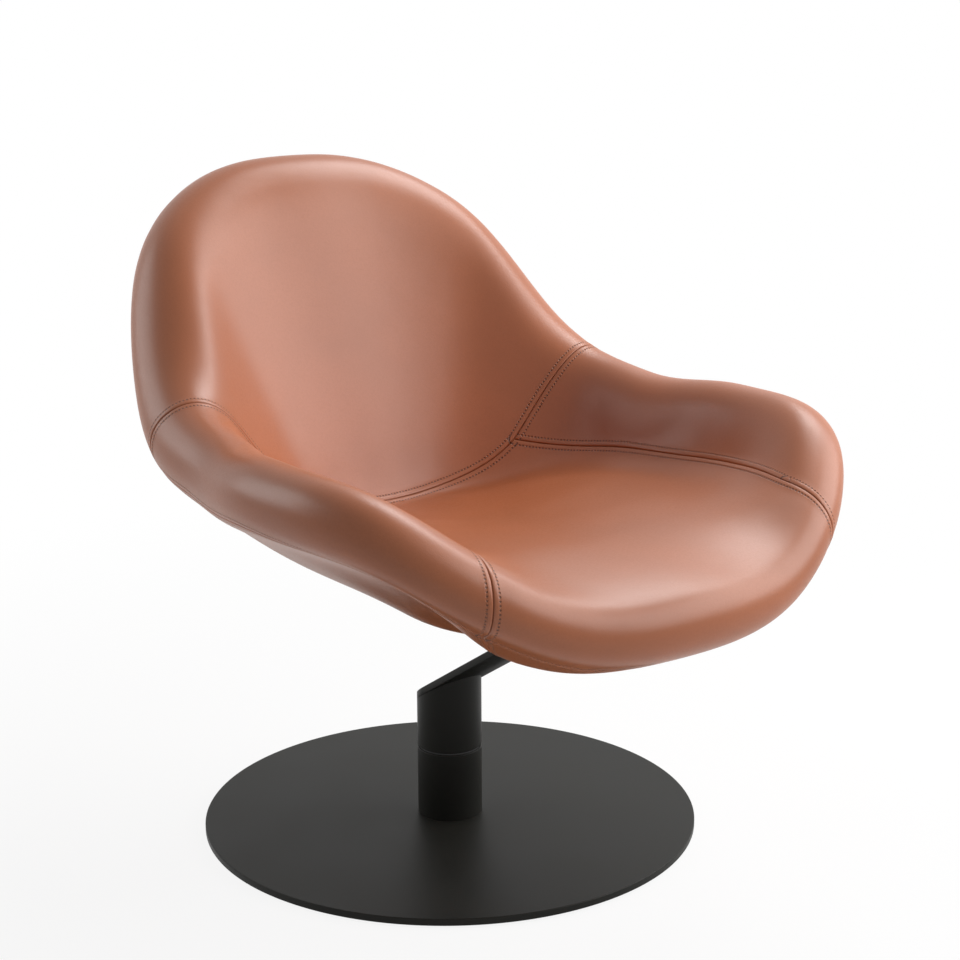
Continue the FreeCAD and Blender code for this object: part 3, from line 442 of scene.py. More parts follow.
def nearest(points, seam):
    """Distance to a seam and the place along it, for many points."""
    line, along = seam.points, seam.along
    batches = []
    for start in range(0, len(points), NEAREST_BATCH):
        some = points[start:start + NEAREST_BATCH]
        close = np.linalg.norm(some[:, None] - line[None], axis=2).argmin(axis=1)
        best = np.full(len(some), np.inf)
        place = np.zeros(len(some))
        for shift in (-1, 0):
            k = np.clip(close + shift, 0, len(line) - 2)
            edge = line[k + 1] - line[k]
            share = np.clip(((some - line[k]) * edge).sum(1) / (edge ** 2).sum(1), 0, 1)
            span = np.linalg.norm(some - line[k] - edge * share[:, None], axis=1)
            place = np.where(span < best, along[k] + share * (along[k + 1] - along[k]), place)
            best = np.minimum(span, best)
        batches.append((best, place))
    return [np.concatenate(parts) for parts in zip(*batches)]


# Panels

def graded(length, spacing):
    """Shares of a length: rows close together at both ends, then even."""
    close = [row for row in SEAM_ROWS if row < length / 3]
    start, end = close[-1], length - close[-1]
    count = max(2, round((end - start) / spacing))
    middle = np.linspace(start, end, count + 1)[1:-1]
    return np.concatenate((close, middle, length - np.array(close[::-1]))) / length


def coons(sides, across, along):
    """Places in the flat layout between four seams: low, high (over across), first, last (over along)."""
    low, high, first, last = sides
    u, v = across[:, None, None], along[None, :, None]
    bottom, top = low.share(across)[:, None], high.share(across)[:, None]
    left, right = first.share(along)[None], last.share(along)[None]
    corners = ((1 - u) * (1 - v) * low.plan[0] + u * (1 - v) * low.plan[-1]
               + (1 - u) * v * high.plan[0] + u * v * high.plan[-1])
    return (1 - v) * bottom + v * top + (1 - u) * left + u * right - corners


def grid_mesh(points):
    """A grid of points as a mesh, and the place of each of its vertices among the points."""
    rows, columns = points.shape[:2]
    bm = bmesh.new()
    bmesh.ops.create_grid(bm, x_segments=rows - 1, y_segments=columns - 1, size=1)
    order = []
    for vert in bm.verts:
        i = round((vert.co.x + 1) / 2 * (rows - 1))
        j = round((vert.co.y + 1) / 2 * (columns - 1))
        vert.co = Vector(points[i, j])
        order.append(i * columns + j)
    return bm, np.array(order)


def turned_in(bm, order, normals):
    """Whether a grid's faces look into the bucket."""
    bm.normal_update()
    outward = normals.reshape(-1, 3)
    return sum(vert.normal.dot(outward[index]) for vert, index in zip(bm.verts, order)) < 0


def into_mesh(bm, name):
    mesh = bpy.data.meshes.new(name)
    bm.to_mesh(mesh)
    bm.free()
    return mesh


def placed(name, data):
    """A new object in the scene."""
    obj = bpy.data.objects.new(name, data)
    bpy.context.scene.collection.objects.link(obj)
    return obj


def linked(name, mesh, body, material):
    """A new piece that rides on a body."""
    obj = placed(name, mesh)
    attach(obj, body)
    mesh.materials.append(material)
    return obj


def swelling(name, places, normals):
    """How far the foam pushes a sewn panel out between its seams, from a short cloth simulation."""
    bm, order = grid_mesh(places)
    pressure = -CLOTH_PRESSURE if turned_in(bm, order, normals) else CLOTH_PRESSURE
    mesh = into_mesh(bm, name)
    piece = placed(name, mesh)
    rows, columns = places.shape[:2]
    i, j = order // columns, order % columns
    edge = (i == 0) | (j == 0) | (i == rows - 1) | (j == columns - 1)
    pins = piece.vertex_groups.new(name="sewn")
    pins.add([int(k) for k in np.flatnonzero(edge)], 1.0, "REPLACE")
    modifier = piece.modifiers.new("Cloth", "CLOTH")
    for key, value in CLOTH.items():
        setattr(modifier.settings, key, value)
    modifier.settings.uniform_pressure_force = pressure
    modifier.settings.effector_weights.gravity = 0
    modifier.collision_settings.use_collision = False
    modifier.point_cache.frame_start = 1
    modifier.point_cache.frame_end = CLOTH_FRAMES
    scene = bpy.context.scene
    for number in range(1, CLOTH_FRAMES + 1):
        scene.frame_set(number)
    settled = piece.evaluated_get(bpy.context.evaluated_depsgraph_get()).to_mesh()
    moved = np.empty(len(settled.vertices) * 3)
    settled.vertices.foreach_get("co", moved)
    push = np.empty(rows * columns)
    out = moved.reshape(-1, 3) - places.reshape(-1, 3)[order]
    push[order] = (out * normals.reshape(-1, 3)[order]).sum(axis=1)
    bpy.data.objects.remove(piece)
    bpy.data.meshes.remove(mesh)
    scene.frame_set(1)
    return push.reshape(rows, columns)


def pressed(near, sizes):
    """How far the leather stands out near a seam: a fine groove, a fuller band on the folded edges under
    it, the row of stitches that holds them, and the pad easing in from both sides."""
    distance = np.min([span for span, place in near], axis=0)
    groove = -sizes.seam_depth * np.exp(-(distance / sizes.seam_width) ** 2)
    band = sizes.seam_band / (1 + np.exp((distance - sizes.stitch_offset - BAND_PAST) / BAND_EDGE))
    held = -sizes.stitch_pull * np.exp(-((distance - sizes.stitch_offset) / STITCH_GROOVE) ** 2)
    easing = -sizes.seam_ease * np.exp(-distance / (2 * sizes.stitch_offset))
    return groove + band + held + easing


def gathered(span, place, sizes):
    """Small puckers across a seam whose leather was taken in, near its upper end."""
    fading = np.exp(-(place / (PUCKERS * sizes.pucker_pitch)) ** 2)
    ripple = np.cos(2 * math.pi * place / sizes.pucker_pitch) * fading
    return sizes.pucker * ripple * np.exp(-((span - sizes.stitch_offset) / sizes.stitch_offset) ** 2)


def keep_sides(bm, order, near):
    """The distance from each seam and the run along it, kept on the mesh for the stitch holes."""
    for number, (span, place) in enumerate(near):
        layer = bm.verts.layers.float_vector.new("side_%d" % number)
        for vert, index in zip(bm.verts, order):
            vert[layer] = Vector((span[index], place[index], 1))


def leather_panel(name, sides, nodes):
    """A sewn leather panel over its foam: a grid between four seams, swollen, pressed at the seams."""
    sizes = bpy.context.scene.armchair_sizes
    width, height = [(sides[k].along[-1] + sides[k + 1].along[-1]) / 2 / MM for k in (0, 2)]
    across, along = graded(width, sizes.panel_grid / MM), graded(height, sizes.panel_grid / MM)
    plan = coons(sides, across, along)
    places, normals = bucket.at(plan), bucket.normal(plan)
    push = np.zeros(places.shape[:2])
    coarse = coons(sides, *(np.linspace(0, 1, round(run / CLOTH_GRID) + 1) for run in (width, height)))
    push = swelling(name + "_cloth", bucket.at(coarse), bucket.normal(coarse))
    push = splined(splined(push * sizes.swell / np.abs(push).max(), across, 0), along, 1)
    near = [nearest(places.reshape(-1, 3), seam) for seam in sides]
    out = push + pressed(near, sizes).reshape(push.shape)
    bm, order = grid_mesh(places + normals * out[..., None])
    keep_sides(bm, order, near)
    if turned_in(bm, order, normals):
        bmesh.ops.reverse_faces(bm, faces=bm.faces)
    return finished_panel(name, bm, nodes)


def finished_panel(name, bm, nodes):
    """A panel's grid as a piece of leather with its thickness."""
    mesh = into_mesh(bm, name)
    mesh.shade_smooth()
    obj = linked(name, mesh, "seat", finishes["leather"])
    finer = obj.modifiers.new("Finer", "SUBSURF")
    finer.levels = finer.render_levels = 1
    finer.boundary_smooth = "PRESERVE_CORNERS"
    wall = obj.modifiers.new("Leather", "SOLIDIFY")
    wall.thickness = bpy.context.scene.armchair_sizes.leather
    wall.offset = -1
    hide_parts(*nodes)
    return obj


def under_columns():
    """The underside's angles: even ones, and the seam rows' own on both sides of the belly seams."""
    seam = seams["left_belly"]
    reach = np.hypot(*seam.points[0, :2] + (0, POLE_BACK * MM))
    beside = np.degrees(np.array(SEAM_ROWS) * MM / reach)
    turn = unflat(seam.plan[0])[0]
    close = np.concatenate((turn + beside, turn - beside[1:]))
    even = np.linspace(0, 360, UNDER_COLUMNS)
    even = even[np.abs(np.abs((even + 180) % 360 - 180) - turn) > beside[-1] + UNDER_GAP]
    return np.sort(np.concatenate((even, close, 360 - close)))


def under_panel():
    """The leather under the bucket, from the perimeter seam to the slot where the bracket goes in."""
    sizes = bpy.context.scene.armchair_sizes
    turns = under_columns()
    shares = graded(float((bucket.end - bucket.seam).mean()), UNDER_ROWS)
    shares = np.append(shares[shares < UNDER_END], 1.0)
    starts, ends = between(bucket.seam, turns), between(bucket.end, turns)
    runs = starts[:, None] + (ends - starts)[:, None] * shares[None]
    angles = np.repeat(turns[:, None], len(shares), axis=1)
    plan = flat(angles, runs)
    plan[-1] = plan[0]
    places, normals = bucket.at(plan), bucket.normal(flat(angles, np.minimum(runs, ends[:, None] - 2)))
    sides = ("front_rim", "left_rim", "back_rim", "right_rim", "left_belly", "right_belly")
    near = [nearest(places.reshape(-1, 3), seams[key]) for key in sides]
    out = pressed(near, sizes) + sum(gathered(span, place, sizes) for span, place in near[4:])
    out = out.reshape(places.shape[:2]) * (1 - eased(shares, *UNDER_FADE))
    shaped = places + normals * out[..., None]
    shaped[:, -1] = shaped[0, -1]
    bm, order = grid_mesh(shaped)
    keep_sides(bm, order, near)
    bmesh.ops.remove_doubles(bm, verts=bm.verts, dist=TINY)
    bm.normal_update()
    if sum(face.normal.z for face in level_faces(bm)) > 0:
        bmesh.ops.reverse_faces(bm, faces=bm.faces)
    cut_slot(bm)
    return finished_panel("under_panel", bm, ["under_cover"])


def level_faces(bm):
    """The underside's faces in its level middle."""
    return [face for face in bm.faces if face.calc_center_median().z < (UNDER_HEIGHT + 1) * MM]


def cut_slot(bm):
    """Opens the underside where the bracket crosses it, with a little room."""
    sizes = bpy.context.scene.armchair_sizes
    box_low, box_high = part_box("column_upper")
    half = (box_high.x - box_low.x) / 2 + SLOT_ROOM
    rise = (UNDER_HEIGHT * MM - sizes.bracket_height) / math.tan(sizes.bracket_tilt)
    thick = sizes.bracket_thickness / math.sin(sizes.bracket_tilt)
    low = Vector((-half, -rise - SLOT_ROOM, 0))
    high = Vector((half, -rise + thick + SLOT_ROOM, 0))
    pole = Vector((0, -POLE_BACK * MM))
    for co, no in ((low, (1, 0, 0)), (high, (1, 0, 0)), (low, (0, 1, 0)), (high, (0, 1, 0))):
        faces = [face for face in level_faces(bm)
                 if (face.calc_center_median().xy - pole).length < UNDER_DISC * MM]
        parts = {part for face in faces for part in (*face.edges, *face.verts)}
        bmesh.ops.bisect_plane(bm, geom=faces + list(parts), dist=TINY, plane_co=co, plane_no=no)
    slot = []
    for face in level_faces(bm):
        middle = face.calc_center_median()
        if low.x < middle.x < high.x and low.y < middle.y < high.y:
            slot.append(face)
    bmesh.ops.delete(bm, geom=slot, context="FACES")


# Stitching

def surface_tree(objects):
    """The finished outside of several panels, for laying stitches on it."""
    graph = bpy.context.evaluated_depsgraph_get()
    corners, faces = [], []
    for obj in objects:
        mesh = obj.evaluated_get(graph).to_mesh()
        start = len(corners)
        corners += [vert.co.copy() for vert in mesh.vertices]
        faces += [[start + k for k in face.vertices] for face in mesh.polygons]
    return BVHTree.FromPolygons(corners, faces)


def stitch_places(seam, side, tree):
    """Where the stitches of one row lie: their middle, run and outward direction."""
    sizes = bpy.context.scene.armchair_sizes
    pitch, reach = sizes.stitch_pitch, sizes.stitch_offset
    normals = bucket.normal(seam.plan)
    runs = np.gradient(seam.points, axis=0)
    runs /= np.linalg.norm(runs, axis=1, keepdims=True)
    beside = np.cross(normals, runs) * side
    places = []
    for number in range(2, int(seam.along[-1] / pitch) - 2):
        at = (number + 0.5) * pitch
        point, over, along, out = [
            Vector([np.interp(at, seam.along, table[:, axis]) for axis in range(3)])
            for table in (seam.points, beside, runs, normals)]
        found, normal, index, span = tree.find_nearest(point + over * reach)
        if found is None or span > 2 * reach:
            continue
        normal = normal if normal.dot(out) > 0 else -normal
        places.append((found, (along - normal * along.dot(normal)).normalized(), normal))
    return places


def stitch_row(name, seam_sides, tree):
    """Rows of thread stitches, each a small rounded bead of thread from hole to hole."""
    sizes = bpy.context.scene.armchair_sizes
    shape = Matrix.Diagonal((sizes.stitch_length / 2, sizes.thread / 2, sizes.thread / 2, 1))
    lying = shape @ Matrix.Rotation(math.pi / 2, 4, "Y")
    places = [place for seam, side in seam_sides for place in stitch_places(seam, side, tree)]
    whole = bmesh.new()
    for start in range(0, len(places), STITCH_BATCH):
        bm = bmesh.new()
        for place, along, normal in places[start:start + STITCH_BATCH]:
            axes = Matrix((along, normal.cross(along), normal)).transposed().to_4x4()
            sunk = Matrix.Translation(place - normal * sizes.thread * STITCH_SUNK)
            bmesh.ops.create_uvsphere(bm, u_segments=6, v_segments=5, radius=1, matrix=sunk @ axes @ lying)
        batch = into_mesh(bm, name + "_batch")
        whole.from_mesh(batch)
        bpy.data.meshes.remove(batch)
    mesh = into_mesh(whole, name)
    mesh.shade_smooth()
    return linked(name, mesh, "seat", finishes["thread"])


# Steel

def turned(outline, segments=128):
    """A shape turned round the column's axis from a half outline of (radius, height)."""
    bm = bmesh.new()
    verts = [bm.verts.new((radius, 0, height)) for radius, height in outline]
    edges = [bm.edges.new(pair) for pair in zip(verts, verts[1:])]
    bmesh.ops.spin(bm, geom=verts + edges, cent=(0, 0, 0), axis=(0, 0, 1), angle=2 * math.pi,
                   steps=segments, use_merge=True)
    bmesh.ops.remove_doubles(bm, verts=bm.verts, dist=TINY)
    bmesh.ops.recalc_face_normals(bm, faces=bm.faces)
    return bm


def tube(inside, outside, low, high, radii=(0, 0, 0, 0, 0)):
    """A ring turned from a rectangle whose corners may be rounded."""
    points = [(inside, high), (inside, low), (outside, low), (outside, high), (inside, high)]
    return turned(smooth_outline(points, radii))


def steel_piece(bm, name, body, node, finish="black", sharp=math.radians(34)):
    """A shape as a piece that shows in place of a node."""
    mesh = into_mesh(bm, name)
    mesh.shade_smooth()
    mesh.set_sharp_from_angle(angle=sharp)
    obj = linked(name, mesh, body, finishes[finish])
    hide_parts(node)
    return obj


def cut_off(bm, place, square):
    """Takes away what lies past a plane; gives the edges of the cut."""
    cutting = bmesh.ops.bisect_plane(bm, geom=bm.verts[:] + bm.edges[:] + bm.faces[:], dist=TINY,
                                     plane_co=place, plane_no=square, clear_outer=True)
    return [item for item in cutting["geom_cut"] if isinstance(item, bmesh.types.BMEdge)]


def rounded(corner, before, after, radius, steps=4):
    """A corner of an outline rounded off, with a point close by on each side to hold the shading."""
    corner, before, after = Vector(corner), Vector(before), Vector(after)
    u, v = (before - corner).normalized(), (after - corner).normalized()
    half = u.angle(v) / 2
    reach = radius / math.tan(half)
    centre = corner + (u + v).normalized() * radius / math.sin(half)
    start, end = corner + u * reach, corner + v * reach
    points = [start + u * radius]
    for step in range(steps + 1):
        mixed = start.lerp(end, step / steps) - centre
        points.append(centre + mixed.normalized() * radius)
    return [tuple(point) for point in points + [end + v * radius]]


def smooth_outline(points, radii):
    """A half outline with some of its corners rounded."""
    outline = []
    for index, (point, radius) in enumerate(zip(points, radii)):
        if radius:
            outline += rounded(point, points[index - 1], points[index + 1], radius)
        else:
            outline.append(point)
    return outline


def make_foot_plate():
    """The round plate, cut from below for the heads of its screws."""
    low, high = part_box("foot_plate")
    radius, edge = high.x, bpy.context.scene.armchair_sizes.steel_edge * PLATE_EDGE
    rings = (0, radius * 0.3, radius * 0.9, radius)
    points = [(ring, low.z) for ring in rings] + [(ring, high.z) for ring in rings[::-1]]
    bm = turned(smooth_outline(points, (0, 0, 0, edge, edge, 0, 0, 0)), 256)
    disc = steel_piece(bm, "foot_disc", "base", "foot_plate")
    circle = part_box("foot_screws")[1].x - SINK_INSET
    sinks = bmesh.new()
    for turn in range(4):
        place = Matrix.Translation((circle, 0, low.z + SINK_MIDDLE))
        bmesh.ops.create_cone(sinks, cap_ends=True, segments=32, radius1=SINK_MOUTH, radius2=SINK_END,
                              depth=SINK_DEPTH, matrix=Matrix.Rotation(turn * math.pi / 2, 4, "Z") @ place)
    tool = placed("sinks", into_mesh(sinks, "sinks"))
    cutting = disc.modifiers.new("Countersinks", "BOOLEAN")
    cutting.object = tool
    whole = disc.data
    cut = bpy.data.meshes.new_from_object(disc.evaluated_get(bpy.context.evaluated_depsgraph_get()))
    disc.modifiers.remove(cutting)
    disc.data = cut
    bpy.data.meshes.remove(whole)
    bpy.data.objects.remove(tool)
    cut.name = "foot_disc"


def make_column():
    """The two tubes and the ring that stands back in the groove between them."""
    sizes = bpy.context.scene.armchair_sizes
    edge = sizes.steel_edge
    low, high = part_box("column_lower")
    radius = high.x
    bm = tube(radius - sizes.tube_wall, radius, low.z, high.z, (0, 0, 0, edge, 0))
    steel_piece(bm, "tube_lower", "base", "column_lower")
    low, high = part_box("column_upper")
    bm = tube(radius - sizes.tube_wall, radius, low.z, high.z + radius, (0, 0, edge, 0, 0))
    square = (0, math.sin(sizes.bracket_tilt), math.cos(sizes.bracket_tilt))
    bmesh.ops.bridge_loops(bm, edges=cut_off(bm, (0, 0, sizes.bracket_height), square))
    bmesh.ops.recalc_face_normals(bm, faces=bm.faces)
    steel_piece(bm, "tube_upper", "seat", "column_upper")
    low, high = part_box("thrust_ring")
    bm = tube(sizes.spindle_radius, high.x, low.z, high.z)
    steel_piece(bm, "groove_ring", "base", "thrust_ring", "polymer")


def make_bracket():
    """The tilted steel strip: round and flush at the column, straight where it meets the mount plate."""
    sizes = bpy.context.scene.armchair_sizes
    low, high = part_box("bracket_plate")
    bm = bmesh.new()
    bmesh.ops.create_circle(bm, cap_ends=True, segments=128, radius=high.x)
    for vert in bm.verts:
        if vert.co.y < -TINY:
            vert.co.y = low.y - STRIP_PAST
    bmesh.ops.remove_doubles(bm, verts=bm.verts, dist=TINY)
    raised = bmesh.ops.extrude_face_region(bm, geom=bm.faces[:])
    tops = [item for item in raised["geom"] if isinstance(item, bmesh.types.BMVert)]
    bmesh.ops.translate(bm, verts=tops, vec=(0, 0, STRIP_DEPTH))
    bmesh.ops.recalc_face_normals(bm, faces=bm.faces)
    square = Vector((0, math.sin(sizes.bracket_tilt), math.cos(sizes.bracket_tilt)))
    under = Vector((0, 0, sizes.bracket_height))
    slope = math.atan(SEAT_RISE)
    plate = Vector((0, -POLE_BACK * MM, sizes.mount_height))
    for place, away in ((under, -square), (under + square * sizes.bracket_thickness, square),
                        (plate, Vector((0, math.sin(slope), math.cos(slope))))):
        bmesh.ops.contextual_create(bm, geom=cut_off(bm, place, away))
    bmesh.ops.recalc_face_normals(bm, faces=bm.faces)
    edges = [edge for edge in bm.edges if edge.calc_face_angle(0) > math.radians(40)]
    bmesh.ops.bevel(bm, geom=edges, offset=sizes.steel_edge * STRIP_EDGE, segments=2, profile=0.5,
                    affect="EDGES", material=-1)
    steel_piece(bm, "bracket_strip", "seat", "bracket_plate", sharp=math.radians(50))


# Finishes

class Value:
    """A number in a material: arithmetic on it adds Math nodes."""

    def __init__(self, finish, socket):
        self.finish = finish
        self.socket = socket

    def math(self, operation, *numbers, clamp=False):
        settings = {"operation": operation, "use_clamp": clamp}
        return self.finish.node("ShaderNodeMath", settings, dict(enumerate(numbers)))

    def __add__(self, other):
        return self.math("ADD", self, other)

    def __radd__(self, other):
        return self.math("ADD", other, self)

    def __sub__(self, other):
        return self.math("SUBTRACT", self, other)

    def __rsub__(self, other):
        return self.math("SUBTRACT", other, self)

    def __mul__(self, other):
        return self.math("MULTIPLY", self, other)

    def __rmul__(self, other):
        return self.math("MULTIPLY", other, self)

    def __pow__(self, other):
        return self.math("POWER", self, other)

    def __mod__(self, other):
        return self.math("FLOORED_MODULO", self, other)

    def __abs__(self):
        return self.math("ABSOLUTE", self)

    def larger(self, other):
        return self.math("MAXIMUM", self, other)

    def held(self):
        """Kept between 0 and 1."""
        return self.math("ADD", self, 0.0, clamp=True)


class Nodes:
    """The nodes of a material or of the world."""

    def __init__(self, owner):
        owner.use_nodes = True
        self.tree = owner.node_tree
        self.tree.nodes.clear()

    def made(self, kind, settings=(), inputs=()):
        """A node of a kind with its settings, then its inputs as numbers, colours or links."""
        node = self.tree.nodes.new(kind)
        for key, value in dict(settings).items():
            setattr(node, key, value)
        for key, value in dict(inputs).items():
            self.put(node.inputs[key], value)
        return node

    def node(self, kind, settings=(), inputs=(), output=0):
        """One output of such a node."""
        return Value(self, self.made(kind, settings, inputs).outputs[output])

    def put(self, socket, value):
        if isinstance(value, Value):
            self.tree.links.new(value.socket, socket)
        else:
            socket.default_value = value

    def seen_rays(self):
        """1 for the rays that see the white studio: the camera's, and those in gloss and glass."""
        rays = [self.node("ShaderNodeLightPath", output="Is %s Ray" % kind)
                for kind in ("Camera", "Glossy", "Transmission")]
        return (rays[0] + rays[1] + rays[2]).held()


class Finish(Nodes):
    """A material with one of the armchair's colours."""

    def __init__(self, name, colour):
        self.material = bpy.data.materials.new(name)
        super().__init__(self.material)
        self.colour = getattr(bpy.context.scene.armchair_colours, colour)
        self.surface = self.made("ShaderNodeBsdfPrincipled")
        self.shader = Value(self, self.surface.outputs[0])
        self.output = self.made("ShaderNodeOutputMaterial", inputs={"Surface": self.shader})
        self.place = self.node("ShaderNodeTexCoord", output="Object")

    def set(self, **inputs):
        """The surface's own sockets, by name."""
        for key, value in inputs.items():
            self.put(self.surface.inputs[key.replace("_", " ")], value)

    def shade(self, amount):
        return tuple(channel * amount for channel in self.colour) + (1.0,)

    def noise(self, scale, detail, roughness, place=None):
        return self.node("ShaderNodeTexNoise", inputs={
            "Vector": place or self.place, "Scale": scale, "Detail": detail, "Roughness": roughness})

    def cells(self, scale, feature="F1"):
        return self.node("ShaderNodeTexVoronoi", {"feature": feature},
                         {"Vector": self.place, "Scale": scale, "Randomness": 1.0})

    def stretched(self, x, y, z):
        return self.node("ShaderNodeMapping", inputs={"Vector": self.place, "Scale": (x, y, z)})

    def mix(self, share, first, last):
        """From one colour to another; a number stands for that shade of the finish's own."""
        first, last = [self.shade(end) if isinstance(end, float) else end for end in (first, last)]
        return self.node("ShaderNodeMix", {"data_type": "RGBA"}, {0: share, 6: first, 7: last}, output=2)

    def step(self, value, low, high, first=0.0, last=1.0):
        """Eases from first to last as the value goes from low to high."""
        return self.node("ShaderNodeMapRange", {"interpolation_type": "SMOOTHSTEP"}, {
            "Value": value, "From Min": low, "From Max": high, "To Min": first, "To Max": last})

    def bump(self, height):
        """A height in metres as a bump."""
        self.set(Normal=self.node("ShaderNodeBump", inputs={
            "Height": height, "Strength": 1.0, "Distance": 1.0}))


def stitch_marks(finish):
    """How near a place is to a seam and to a stitch hole, from the sides kept on the panels; both marks are
    darkened with painted shade in the leather.
    """
    sizes = bpy.context.scene.armchair_sizes
    seam, holes = None, None
    for number in range(6):
        side = finish.node("ShaderNodeAttribute", {"attribute_name": "side_%d" % number}, output="Vector")
        parts = finish.made("ShaderNodeSeparateXYZ", inputs={"Vector": side})
        span, run, known = [Value(finish, socket) for socket in parts.outputs]
        span = span + (1.0 - known)
        # near: the band along a seam that the leather's painted shade darkens
        near = finish.step(span, 0.0003, 0.0011, 1.0, 0.0)
        off = span - sizes.stitch_offset
        phase = (run % sizes.stitch_pitch) - sizes.stitch_pitch / 2
        reach = sizes.stitch_pitch / 2 - abs(phase)
        spread = (off * off + reach * reach) ** 0.5
        # hole: a stitch hole, darkened by painted shade and pressed in by the bump
        hole = finish.step(spread, sizes.thread * 0.8, sizes.thread * 1.8, 1.0, 0.0)
        seam = near if seam is None else seam.larger(near)
        holes = hole if holes is None else holes.larger(hole)
    return seam, holes


def leather_finish():
    """Smooth dyed leather: fine pores, a soft clouding, painted shade in the seams, and the stitch holes
    pressed in and darkened with painted shade.
    """
    finish = Finish("leather", "leather")
    clouds = finish.noise(7.0, 3.0, 0.5)
    mottle = finish.noise(420.0, 2.0, 0.6)
    pebbles = finish.cells(950.0, "SMOOTH_F1")
    pores = finish.cells(420.0)
    seam, holes = stitch_marks(finish)
    base = finish.mix(finish.step(clouds, 0.3, 0.7), 0.94, 1.05)
    base = finish.mix(finish.step(mottle, 0.35, 0.75, 0.0, 0.35), base, 0.86)
    # Painted shade: the leather darkens along each seam's groove.
    base = finish.mix(seam * 0.5, base, 0.42)
    # Painted shade: each stitch hole is darkened.
    base = finish.mix(holes * 0.8, base, 0.22)
    height = pebbles * 0.00006 - finish.step(pores, 0.0, 0.22, 0.00003, 0.0) + mottle * 0.00003
    finish.set(Base_Color=base, Roughness=finish.step(mottle, 0.3, 0.8, 0.34, 0.42) + seam * 0.25,
               Specular_IOR_Level=0.5)
    finish.bump(height + clouds * 0.0012 - holes * 0.0007)
    return finish.material


def thread_finish():
    """Bonded thread, its twist as a fine slant."""
    finish = Finish("thread", "thread")
    twist = finish.node("ShaderNodeTexWave", {"bands_direction": "DIAGONAL"},
                        {"Vector": finish.place, "Scale": 900.0, "Distortion": 2.0})
    finish.set(Base_Color=finish.mix(twist, 0.8, 1.1), Roughness=finish.step(twist, 0.0, 1.0, 0.65, 0.5))
    finish.bump(twist * 0.00005)
    return finish.material


def black_finish():
    """Fine powder coat on steel: a soft orange peel over a finer grain, with a slow drift in tone and
    roughness.
    """
    finish = Finish("powder_coat", "coated_steel")
    peel = finish.noise(900.0, 2.0, 0.5)
    fine = finish.noise(3200.0, 1.0, 0.5)
    drift = finish.noise(9.0, 2.0, 0.5)
    finish.set(Base_Color=finish.mix(finish.step(drift, 0.3, 0.7), 0.85, 1.2),
               Roughness=finish.step(peel, 0.3, 0.7, 0.40, 0.47) + finish.step(drift, 0.3, 0.7, 0.0, 0.04),
               Specular_IOR_Level=0.15)
    finish.bump(peel * 0.00005 + fine * 0.00001)
    return finish.material


def steel_finish():
    """Bright turned steel with fine tool marks round the axis."""
    finish = Finish("turned_steel", "bare_steel")
    marks = finish.noise(1.0, 3.0, 0.6, finish.stretched(60.0, 60.0, 4000.0))
    tarnish = finish.noise(60.0, 3.0, 0.6)
    finish.set(Base_Color=finish.mix(finish.step(tarnish, 0.4, 0.7), 1.0, 0.72), Metallic=1.0,
               Roughness=finish.step(marks, 0.3, 0.7, 0.25, 0.42))
    finish.bump(marks * 0.00002)
    return finish.material


def polymer_finish():
    """Filled bearing plastic, dark and dull."""
    finish = Finish("bearing_plastic", "polymer")
    grain = finish.noise(1500.0, 3.0, 0.6)
    finish.set(Base_Color=finish.mix(finish.step(grain, 0.3, 0.7), 0.8, 1.15),
               Roughness=finish.step(grain, 0.2, 0.8, 0.45, 0.6))
    finish.bump(grain * 0.00002)
    return finish.material


def felt_finish():
    """Pressed wool felt: tangled short fibres."""
    finish = Finish("felt_pad", "felt")
    fibres = finish.noise(1400.0, 5.0, 0.75)
    finish.set(Base_Color=finish.mix(fibres, 0.6, 1.3), Roughness=0.95)
    finish.bump(fibres * 0.0004)
    return finish.material


def plywood_finish():
    """Moulded beech ply: long grain with fine dark flecks."""
    finish = Finish("moulded_ply", "plywood")
    grain = finish.noise(1.0, 4.0, 0.6, finish.stretched(160.0, 12.0, 160.0))
    flecks = finish.noise(1.0, 2.0, 0.5, finish.stretched(900.0, 120.0, 900.0))
    base = finish.mix(finish.step(grain, 0.3, 0.7), 0.8, 1.08)
    finish.set(Base_Color=finish.mix(finish.step(flecks, 0.62, 0.72, 0.0, 0.6), base, 0.45),
               Roughness=finish.step(grain, 0.2, 0.8, 0.5, 0.65))
    finish.bump(grain * 0.00008)
    return finish.material


def foam_finish():
    """Open-cell foam."""
    finish = Finish("seat_foam", "foam")
    cells = finish.cells(1400.0)
    finish.set(Base_Color=finish.mix(finish.step(cells, 0.1, 0.6), 0.65, 1.0), Roughness=0.9)
    finish.bump(cells * -0.0004)
    return finish.material


# Each finish, its maker and the part's own solids that have it
FINISHES = {
    "leather": (leather_finish, "seat_cover", "back_cover", "left_arm_cover", "right_arm_cover",
                "under_cover"),
    "thread": (thread_finish,),
    "black": (black_finish, "mount_plate", "foot_plate", "column_lower", "column_upper", "bracket_plate"),
    "steel": (steel_finish, "foot_plug", "foot_screws", "lower_hub", "spindle", "retaining_washer",
              "lock_nut", "upper_hub", "spacer_sleeves", "mount_screws", "tee_nuts"),
    "polymer": (polymer_finish, "lower_bush", "upper_bush", "thrust_ring"),
    "felt": (felt_finish, "floor_glides"),
    "plywood": (plywood_finish, "shell"),
    "foam": (foam_finish, "seat_foam", "back_foam", "left_arm_foam", "right_arm_foam"),
}
finishes = {}


# Stage

